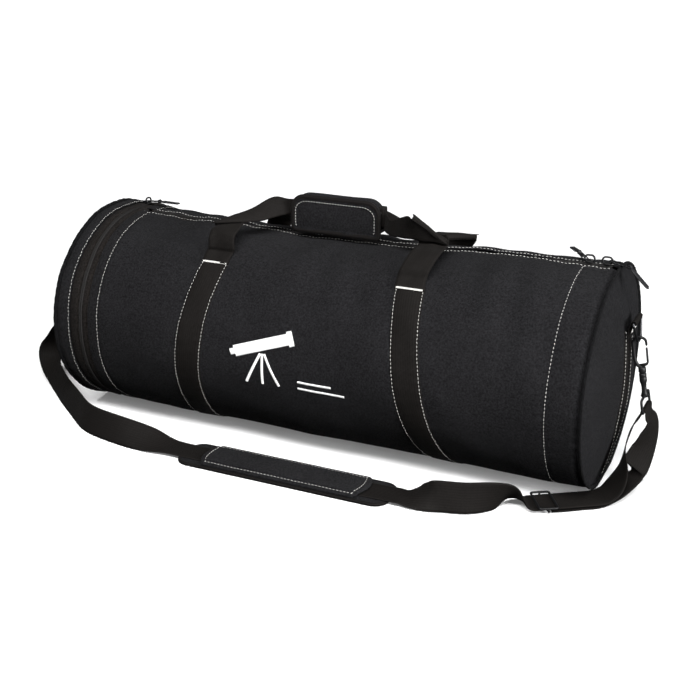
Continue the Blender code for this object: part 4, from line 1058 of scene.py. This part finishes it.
def make_grip():
    lo, hi = (np.array(c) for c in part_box("grip_flap"))
    x0, x1, z0, z1 = lo[0] - 0.002, hi[0] + 0.002, lo[2] - 0.012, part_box("grip_wrap")[1][2] + 0.0008
    y = (lo[1] + hi[1]) / 2
    place = Matrix.Translation((0, y, 0)) @ Matrix.Rotation(math.pi / 2, 4, "X")
    outline = rounded_outline(x0, x1, z0, z1, (0.026, 0.026, 0.009, 0.009), 14)
    mesh = padded_panel("grip_flap_cloth", outline, place, 0.004, 0.0024, channel=0.01, seed=51)
    show("grip_flap_cloth", mesh, FABRIC, "grip_flap", ("grip_flap",))

    rim = even(outline, 0.0016)
    centre = rim.mean(0)
    size = np.array([x1 - x0, z1 - z0]) / 2
    inner = centre + (rim - centre) * (1 - 0.0098 / size)
    line = np.column_stack([inner[:, 0], np.full(len(inner), y - 0.0036), inner[:, 1]])
    start = int(np.argmin(inner[:, 1] + 0.2 * np.abs(inner[:, 0])))
    line = np.roll(line, -start, axis=0)
    line = line[line[:, 2] > z0 + 0.0105]
    stitch_along("grip_flap", line, np.tile([0, -1.0, 0], (len(line), 1)), pitch=0.005, length=0.0032)
    out = unit(np.gradient(np.concatenate([rim[-1:], rim, rim[:1]]), axis=0))[1:-1] @ QUARTER_TURN
    t = around(16)
    G = []
    for k in range(len(rim)):
        o = out[k] if np.dot(out[k], rim[k] - centre) > 0 else -out[k]
        c = rim[k] - o * 0.004
        rib = 1.0 + 0.06 * math.cos(math.pi * k)
        G.append([(c[0] + o[0] * 0.0048 * math.cos(q), y + 0.0034 * rib * math.sin(q),
            c[1] + o[1] * 0.0048 * math.cos(q)) for q in t])
    show("grip_flap_binding", grid("grip_flap_binding", np.array(G), wrap_i=True, wrap_j=True), BINDING,
        "grip_flap")

    lo, hi = (np.array(c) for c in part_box("grip_wrap"))
    gy, z0, z1, thick = -0.012, lo[2], hi[2], 0.003
    path = [(-0.0085, z0 + 0.0016), (-0.002, z0 + 0.0012), (0.007, z0 + 0.0014), (0.0118, z0 + 0.0048)]
    path += [(0.013, z0 + 0.018), (0.013, z0 + 0.033), (0.0118, z1 - 0.006), (0.007, z1 - 0.0018)]
    path += [(0.0, z1 - 0.0012), (-0.007, z1 - 0.0022), (-0.0098, z1 - 0.007), (-0.0098, z1 - 0.02)]
    C = smooth_path([(0, gy + a, b) for a, b in path], 5)
    F = np.cross(unit(np.gradient(C, axis=0)), [1.0, 0, 0])
    xs = np.linspace(lo[0], hi[0], 60)
    wave = waves(52, 8, 0.03, 0.09)

    def shouldered(x):
        """The wrap's cross-section at x; its top is rounded off towards both ends."""
        t = np.clip((abs(x - (lo[0] + hi[0]) / 2) - (hi[0] - lo[0]) / 2) / SHOULDER + 1, 0, 1)
        P = C + np.array([x, 0, 0])
        P[:, 2] -= SHOULDER * (1 - math.sqrt(1 - t * t)) * np.clip((P[:, 2] - lo[2]) / (hi[2] - lo[2]), 0, 1)
        return P

    rows = []
    for face in (1, -1):
        for x in xs if face > 0 else xs[::-1]:
            P = shouldered(x)
            edge = min(1.0, abs(x - lo[0]) / 0.004 + 0.35, abs(x - hi[0]) / 0.004 + 0.35)
            h = thick / 2 * edge + (0.001 * (edge > 0.99) + 0.0004 * wave(P) if face > 0 else 0)
            rows.append(P + F * np.reshape(face * h, (-1, 1) if np.ndim(h) else ()))
    show("grip_wrap_cloth", grid("grip_wrap_cloth", np.array(rows), wrap_i=True), FABRIC, "carry_grip",
        ("grip_wrap",))
    for x in (lo[0] + 0.0008, hi[0] - 0.0008):
        mesh = tube("grip_end_binding", shouldered(x), 0.0024, sides=10)
        show("grip_end_binding_" + ("a" if x < 0 else "b"), mesh, BINDING, "carry_grip")
    for node in ("handle_core_front", "handle_core_rear"):
        a, b = (np.array(c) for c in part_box(node))
        C2 = np.linspace([a[0], (a[1] + b[1]) / 2, (a[2] + b[2]) / 2],
            [b[0], (a[1] + b[1]) / 2, (a[2] + b[2]) / 2], 30)
        mesh = ribbon(node + "_web", C2, np.tile([0, 0, 1.0], (30, 1)), b[2] - a[2], b[1] - a[1], 8)
        show(node + "_web", mesh, WEBBING, "carry_grip", (node,))


make_grip()

# ---------------------------------------------------------------- shoulder pad


def make_pad():
    lo, hi = (np.array(c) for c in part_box("shoulder_pad_base"))
    cx, cy = (lo[0] + hi[0]) / 2, (lo[1] + hi[1]) / 2
    half, wide = (hi[0] - lo[0]) / 2, (hi[1] - lo[1]) / 2
    outline = rounded_outline(-half, half, -wide, wide, (0.026,) * 4)
    place = Matrix.Translation((cx, cy, hi[2] / 2))
    mesh = padded_panel("pad_base_cloth", outline, place, hi[2] - 0.0006, 0.0006, channel=0.007, seed=61)
    base = show("pad_base_cloth", mesh, FABRIC_TRIM, "shoulder_pad", ("shoulder_pad_base",))
    rim = even(outline, 0.003)
    t = around(12)
    centre = rim.mean(0)
    out = unit(np.gradient(rim, axis=0)) @ QUARTER_TURN
    G = []
    for k in range(len(rim)):
        o = out[k] if np.dot(out[k], rim[k] - centre) > 0 else -out[k]
        c = rim[k] - o * 0.002
        z = hi[2] / 2 + 0.0002
        G.append([(cx + c[0] + o[0] * 0.0032 * math.cos(q), cy + c[1] + o[1] * 0.0032 * math.cos(q),
            z + 0.0031 * math.sin(q)) for q in t])
    show("pad_base_binding", grid("pad_base_binding", np.array(G), wrap_i=True, wrap_j=True), BINDING,
        "shoulder_pad")

    lo, hi = (np.array(c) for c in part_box("shoulder_pad_sleeve"))
    cx = (lo[0] + hi[0]) / 2
    half, wide = (hi[0] - lo[0]) / 2, 0.0385
    xs = np.linspace(-1, 1, 120)
    ys = np.linspace(-1, 1, 41)
    wave = waves(62, 10, 0.03, 0.1)
    X, Y = np.meshgrid(xs, ys, indexing="ij")
    bow = 0.014 * (1 - Y**2)
    px = cx + X * (half - 0.012) + np.sign(X) * bow * np.abs(X) ** 6
    py = cy + Y * wide
    rise = hi[2] + 0.0012 - lo[2]
    side_dip = np.exp(-(((np.abs(Y) - 0.8) / 0.07) ** 2)) * 0.0022
    top = rise * (1 - np.abs(Y) ** 7) ** 0.6 * np.clip((1 - np.abs(X)) / 0.02 + 0.45, 0, 1) ** 0.5
    P = np.stack([px, py, 0 * px], -1)
    raised = np.maximum(top - side_dip * (np.abs(Y) < 0.97), 0.0006)
    P[..., 2] = lo[2] + 0.0004 + raised + 0.0005 * wave(P) * (1 - Y**2)
    low = P.copy()
    low[..., 2] = lo[2] + 0.0002
    G = np.concatenate([P, low[:, ::-1][:, 1:-1]], axis=1)
    sleeve = show("pad_sleeve_cloth", grid("pad_sleeve_cloth", G, wrap_j=True), FABRIC, "shoulder_pad",
        ("shoulder_pad_sleeve",))
    for q in (4, 36):
        stitch_along("shoulder_pad", P[2:-2, q] + [0, 0, 0.0003], np.tile([0, 0, 1.0], (len(xs) - 4, 1)))
    for q in (3, -4):
        stitch_along("shoulder_pad", P[q, 3:-3] + [0, 0, 0.0003], np.tile([0, 0, 1.0], (len(ys) - 6, 1)))


make_pad()

# ---------------------------------------------------------------- hardware


WIRE = 0.0021  # radius of the rings' and eyes' wire


def make_hanger(side):
    tag = {-1: "left", 1: "right"}[side]
    M = hanger(side)
    half, foot, drop = 0.0265, 0.011, -0.034
    loop = [(0, -half, 0), (0, half, 0), (0, half + 0.0012, -0.003), (0, foot + 0.0025, drop + 0.0025)]
    loop += [(0, foot, drop), (0, -foot, drop), (0, -foot - 0.0025, drop + 0.0025),
        (0, -half - 0.0012, -0.003)]
    mesh = tube(tag + "_ring_wire", placed(M, fillet(loop, 0.0032, True)), WIRE, True, 16)
    show(tag + "_ring_wire", mesh, NICKEL, tag + "_ring", (tag + "_ring",))

    bar, reach, base = 0.0022, 0.0105, -0.083
    top = drop + 0.0024 + bar
    bow = [(0, 0, base + 0.004), (-0.005, 0, base + 0.0052), (-0.009, 0, -0.07), (-0.0105, 0, -0.06),
        (-0.0105, 0, -0.045)]
    bend = np.radians(np.arange(180, -1, -15))
    bow += [(reach * math.cos(a), 0, top - 0.0085 + 0.0085 * math.sin(a)) for a in bend]
    bow += [(reach, 0, -0.044)]
    line = smooth_path(bow, 3)
    radii = np.interp(np.linspace(0, 1, len(line)), [0, 0.25, 0.6, 0.9, 1],
        [0.003, 0.0027, 0.0022, 0.0021, 0.0018])
    collar = turned([(0.0, 0.0), (0.003, 0), (0.0052, -0.0008), (0.0062, -0.0026), (0.0062, -0.009),
        (0.0055, -0.0104), (0.0, -0.0104)], 24)
    lug = tube("lug", [(-0.004, 0, base + 0.0065), (0.006, 0, base + 0.0075), (0.01, 0, -0.073)],
        [0.0026, 0.0026, 0.0024], sides=12)
    lug.transform(M)
    bow_mesh = tube("bow", placed(M, line), radii, sides=16)
    collar.transform(M @ Matrix.Translation((0, 0, base + 0.0045)))
    pin = tube("pin", placed(M, [(0.01, -0.0026, -0.073), (0.01, 0.0026, -0.073)]), 0.0012, sides=10)
    mesh = join(tag + "_hook_cast", [bow_mesh, collar, lug, pin])
    show(tag + "_hook_cast", mesh, DARK_METAL, tag + "_hook", (tag + "_hook_body",))

    gate = placed(M, [(0.01, 0, -0.073), (0.0103, 0, -0.06), (reach, 0, -0.0468)])
    mesh = tube(tag + "_gate_bar", even(gate, 0.002, False), 0.0018, sides=12)
    show(tag + "_gate_bar", mesh, NICKEL, tag + "_gate", (tag + "_hook_gate",))

    head, low, half = -0.128, -EYE_BAR, 0.0275
    loop = [(0, -half, head), (0, half, head), (0, half, low), (0, -half, low)]
    wire = tube("wire", placed(M, fillet(loop, 0.0045, True)), WIRE, True, 16)
    start = base - 0.0063
    barrel = turned([(0.0, 0), (0.0045, 0), (0.006, -0.0014), (0.006, -0.006), (0.0054, -0.0068),
        (0.006, -0.0076), (0.006, -0.0145), (0.0046, -0.0175), (0.004, -0.024), (0.0044, -0.033),
        (0.0066, -0.0385), (0.005, -0.041), (0.0, -0.041)], 24)
    barrel.transform(M @ Matrix.Translation((0, 0, start)))
    mesh = join(tag + "_eye_cast", [wire, barrel])
    show(tag + "_eye_cast", mesh, DARK_METAL, tag + "_swivel", (tag + "_swivel_eye",))


def turned(profile, sides):
    """A turned piece round local Z from (radius, z) pairs."""
    t = around(sides)
    rows = [(max(r, 1e-5), z) for r, z in profile]
    G = np.array([[(r * math.cos(a), r * math.sin(a), z) for a in t] for r, z in rows])
    return grid("turned", G, wrap_j=True)


def plate(name, outline, holes, thick, edge=0.0002):
    """A flat plate with softened edges, from a 2D outline and holes."""
    curve = bpy.data.curves.new(name, "CURVE")
    curve.dimensions, curve.fill_mode = "2D", "BOTH"
    curve.extrude, curve.bevel_depth, curve.bevel_resolution, curve.offset = thick / 2 - edge, edge, 2, -edge
    for ring in (outline, *holes):
        spline = curve.splines.new("POLY")
        spline.points.add(len(ring) - 1)
        for item, (x, y) in zip(spline.points, ring):
            item.co = (x, y, 0.0, 1.0)
        spline.use_cyclic_u = True
    temp = bpy.data.objects.new(name, curve)
    mesh = bpy.data.meshes.new_from_object(temp)
    bpy.data.objects.remove(temp)
    bpy.data.curves.remove(curve)
    if not mesh.uv_layers:
        mesh.uv_layers.new(name="UVMap")
    return mesh


def direction(axis, pull):
    """Local X along a pull, Z its thickness, Y its width."""
    x = Vector(pull).normalized()
    z = x.cross(-Vector(axis)).normalized()
    return axes(x, z.cross(x), z)


def make_slider(tag, node_tag, tilt, tab_pitch, yaw):
    """A slider with its arched bridge, metal link and moulded tab."""
    link, tab = JOINTS[node_tag + "_link_hinge"], JOINTS[node_tag + "_tab_hinge"]
    at, end = Vector(link["pos_m"]), Vector(tab["pos_m"])
    along, up = (Vector(way).normalized() for way in tilt)
    leg = -1 if tag != "b" else 1
    origin = at - along * (leg * 0.0078) - up * 0.006
    M = Matrix.Translation(origin) @ axes(along, up.cross(along), up)
    shape = [(0.0064, 0.002), (0.004, 0.0046), (-0.003, 0.0052), (-0.0064, 0.0034), (-0.0064, -0.0034),
        (-0.003, -0.0052), (0.004, -0.0046), (0.0064, -0.002)]
    body = plate("top", fillet(shape, 0.0018, True, 4), (), 0.0022, 0.0005)
    body.transform(M @ Matrix.Translation((0, 0, 0.0011)))
    arch = [(-0.0048, 0, 0.0016), (-0.008, 0, 0.003), (-0.008, 0, 0.0082), (-0.0048, 0, 0.0116)]
    arch += [(-x, y, z) for x, y, z in reversed(arch)]
    bridge = tube("bridge", placed(M, fillet(arch, 0.0026)), 0.0015, sides=12)
    mesh = join(node_tag + "_slider_cast", [body, bridge])
    show(node_tag + "_slider_cast", mesh, DARK_METAL, node_tag + "_slider",
        (node_tag + "_slider",))

    L = Matrix.Translation(at) @ direction(link["axis"], end - at)
    length, wide = 0.032, 0.0105
    outline = fillet([(length, 0.0038), (length, -0.0038), (0.014, -0.0044), (-0.0045, -wide / 2),
        (-0.0045, wide / 2), (0.014, 0.0044)], 0.0024, True, 5)
    hole = fillet([(0.006, 0.0034), (0.006, -0.0034), (-0.003, -0.0034), (-0.003, 0.0034)], 0.0016,
        True, 5)
    slot = fillet([(length - 0.0025, 0.0028), (length - 0.0025, -0.0028), (length - 0.0085, -0.0028),
        (length - 0.0085, 0.0028)], 0.0012, True, 4)
    mesh = plate(node_tag + "_link_plate", outline, (hole, slot), 0.0013)
    mesh.transform(L)
    show(node_tag + "_link_plate", mesh, NICKEL, node_tag + "_link", (node_tag + "_link",))

    y, p = math.radians(yaw), math.radians(tab_pitch)
    way = Vector((math.cos(p) * math.cos(y), math.cos(p) * math.sin(y), math.sin(p)))
    T = Matrix.Translation(end) @ direction(tab["axis"], way)
    rows = []
    q = around(24)
    for x in np.concatenate([[0.0036, 0.004, 0.005], np.linspace(0.007, 0.041, 46),
            [0.0428, 0.0438, 0.0441]]):
        w = np.interp(x, [0.0036, 0.006, 0.01, 0.038, 0.0425, 0.0441],
            [0.0026, 0.004, 0.0049, 0.0046, 0.0034, 0.0006])
        h = np.interp(x, [0.0036, 0.01, 0.04, 0.0441], [0.0012, 0.0017, 0.0015, 0.0003])
        grip = 0.00035 * (0.5 + 0.5 * math.cos(2 * math.pi * x / 0.003)) if 0.013 < x < 0.036 else 0.0
        c, s = np.cos(q), np.sin(q)
        rows.append(np.column_stack([0 * q + x, w * np.sign(c) * np.abs(c) ** 0.55,
            (h - grip) * np.sign(s) * np.abs(s) ** 0.55]))
    body = grid("tab", np.array(rows), wrap_j=True)
    eye = turned([(0.0021, -0.0026), (0.0033, -0.0026), (0.0036, -0.0022), (0.0036, 0.0022),
        (0.0033, 0.0026), (0.0021, 0.0026), (0.0021, -0.0026)], 20)
    eye.transform(Matrix.Rotation(math.pi / 2, 4, "X"))
    neck = tube("neck", [(0.003, 0, 0), (0.0052, 0, 0)], 0.0013, sides=10)
    mesh = join(node_tag + "_tab_moulding", [body, eye, neck])
    mesh.transform(T)
    show(node_tag + "_tab_moulding", mesh, RUBBER, node_tag + "_tab", (node_tag + "_tab",))


def make_adjuster():
    lo, hi = (np.array(c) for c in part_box("adjuster_frame"))
    centre = (lo + hi) / 2
    turn = Vector(JOINTS["adjuster_slide"]["axis"])
    M = Matrix.Translation((centre[0], centre[1], 0)) @ Matrix.Rotation(math.atan2(turn.y, turn.x), 4, "Z")
    a, b, z = 0.015, 0.028, 0.0104
    loop = [(a, b, z), (-a, b, z), (-a, -b, z), (a, -b, z)]
    mesh = tube("adjuster_frame_wire", placed(M, fillet(loop, 0.0045, True, 7)), 0.0019, True, 14)
    show("adjuster_frame_wire", mesh, DARK_METAL, "adjuster", ("adjuster_frame",))
    bar = [(0, -b, 0.0084), (0, -b, 0.0041), (0, b, 0.0041), (0, b, 0.0084)]
    mesh = tube("adjuster_middle_bar", placed(M, fillet(bar, 0.0022)), 0.0018, sides=12)
    show("adjuster_middle_bar", mesh, DARK_METAL, "adjuster", ("adjuster_bar",))


for end in (-1, 1):
    make_hanger(end)
slope = math.tan(math.asin(0.035 / HALF_WIDTH)) * -HALF_HEIGHT / HALF_WIDTH
make_slider("a", "main_zip_a", ((1, 0, 0), (0, 0, 1)), -5.0, 121.0)
make_slider("b", "main_zip_b", ((1, 0, 0), (0, 0, 1)), -40.0, -14.0)
make_slider("end", "end_zip", ((0, 1, slope), (0, -slope, 1)), 0.0, 0.0)
make_adjuster()

# ---------------------------------------------------------------- mark


def stroke(points, wide, key, x_at, z_at):
    """A line of satin embroidery on the front of the bag; points are (x, height) in metres about a centre."""
    P = even(np.array(points, float), 0.0009, False)
    way = unit(np.gradient(P, axis=0))
    side = np.stack([-way[:, 1], way[:, 0]], -1)
    level = math.acos(np.clip((z_at - CENTRE_Z) / HALF_HEIGHT, -1, 1))

    def on_bag(q, lift):
        a = level - q[:, 1] / MEAN_R
        return skin(x_at + q[:, 0], a, lift), skin_normal(0 * a, a)

    c, n = on_bag(P, 0.0004)
    e, _ = on_bag(P + side * 0.001, 0.0004)
    t = unit(e - c)
    SEWN.setdefault(key, []).append((c, t, n, np.full(len(c), wide), 0.0006, 0.0002))


def make_mark():
    """A plain pictogram of a telescope on a tripod."""
    x, z = -0.06, 0.205
    stroke([(-0.05, -0.006), (0.046, 0.03)], 0.02, "mark", x, z)
    stroke([(0.046, 0.03), (0.054, 0.033)], 0.027, "mark", x, z)
    stroke([(-0.058, -0.009), (-0.05, -0.006)], 0.011, "mark", x, z)
    for foot in (-0.03, 0.0, 0.03):
        stroke([(0.001 + foot * 0.12, -0.004), (foot, -0.062)], 0.0048, "mark", x, z)
    stroke([(0.066, -0.06), (0.15, -0.06)], 0.004, "mark", x, z)
    stroke([(0.066, -0.047), (0.126, -0.047)], 0.004, "mark", x, z)


make_mark()
for tag, key, body, slot in (
    ("case", "case", "case", "webbing"), ("right", "right", "case", "webbing"),
    ("lid", "lid", "lid", "webbing"), ("flap", "grip_flap", "grip_flap", "fabric"),
    ("pad", "shoulder_pad", "shoulder_pad", "fabric"),
):
    show(tag + "_topstitching", sew(tag + "_topstitching", key), THREAD, body)
show("embroidered_mark", sew("embroidered_mark", "mark"), MARK, "case")

# ---------------------------------------------------------------- stage and light


def make_stage():
    """A pale floor that curves up into a backdrop. Its emission is painted light: a weak glow near the object
    that rises to a full white glow away from it.
    """
    n = Nodes("studio_paper", (0.9, 0.9, 0.9), 0.9)
    split = n.add("ShaderNodeSeparateXYZ")
    n.link(n.add("ShaderNodeTexCoord").outputs["Object"], split.inputs[0])
    squares = [n.math("MULTIPLY", split.outputs[k], split.outputs[k]) for k in range(3)]
    away = n.math("SQRT", n.math("ADD", squares[0], n.math("ADD", squares[1], squares[2])))
    # painted light: emission strength rises from 0.12 within 0.8 m of the object's origin to 1.0 beyond 3 m
    glow = n.add("ShaderNodeMapRange", interpolation_type="SMOOTHSTEP")
    for key, value in (("From Min", 0.8), ("From Max", 3.0), ("To Min", 0.12), ("To Max", 1.0)):
        glow.inputs[key].default_value = value
    n.link(away, glow.inputs["Value"])
    n.link(glow.outputs[0], n.shader.inputs["Emission Strength"])
    n.shader.inputs["Emission Color"].default_value = (1, 1, 1, 1)
    profile = [(-9.0, 0.0), (4.0, 0.0)]
    bend = np.linspace(0, math.pi / 2, 14)[1:]
    profile += [(4.0 + 2.5 * math.sin(t), 2.5 - 2.5 * math.cos(t)) for t in bend]
    profile += [(6.5, 9.0)]
    P = np.array([[(x, y, z) for x in (-12.0, 0.0, 12.0)] for y, z in profile])
    turn = math.radians(AZIMUTH)
    c, s = math.cos(turn), math.sin(turn)
    P = np.stack([P[..., 0] * c - P[..., 1] * s, P[..., 0] * s + P[..., 1] * c, P[..., 2]], -1)
    floor = show("studio_floor", grid("studio_floor", P, flip=True), n.mat)
    floor.visible_diffuse = floor.visible_glossy = False


def area(name, place, target, size, power):
    data = bpy.data.lights.new(name, "AREA")
    data.shape, data.size, data.size_y, data.energy = "RECTANGLE", size[0], size[1], power
    light = bpy.data.objects.new(name, data)
    light.location = place
    light.rotation_euler = (Vector(target) - Vector(place)).to_track_quat("-Z", "Y").to_euler()
    bpy.context.scene.collection.objects.link(light)


make_stage()
world = bpy.data.worlds.new("studio")
world.use_nodes = True
world.node_tree.nodes["Background"].inputs["Color"].default_value = (1, 1, 1, 1)
world.node_tree.nodes["Background"].inputs["Strength"].default_value = 0.06
bpy.context.scene.world = world
bpy.context.scene.view_settings.view_transform = "Standard"
area("top_softbox", (0.0, 0.3, 2.8), (0, 0, 0.2), (2.6, 1.6), 3)
area("front_softbox", (0.4, -2.0, 2.75), (0, 0, 0.2), (3.2, 0.8), 212)
area("right_softbox", (2.8, -0.9, 0.9), (0.3, 0, 0.2), (1.2, 1.2), 135)
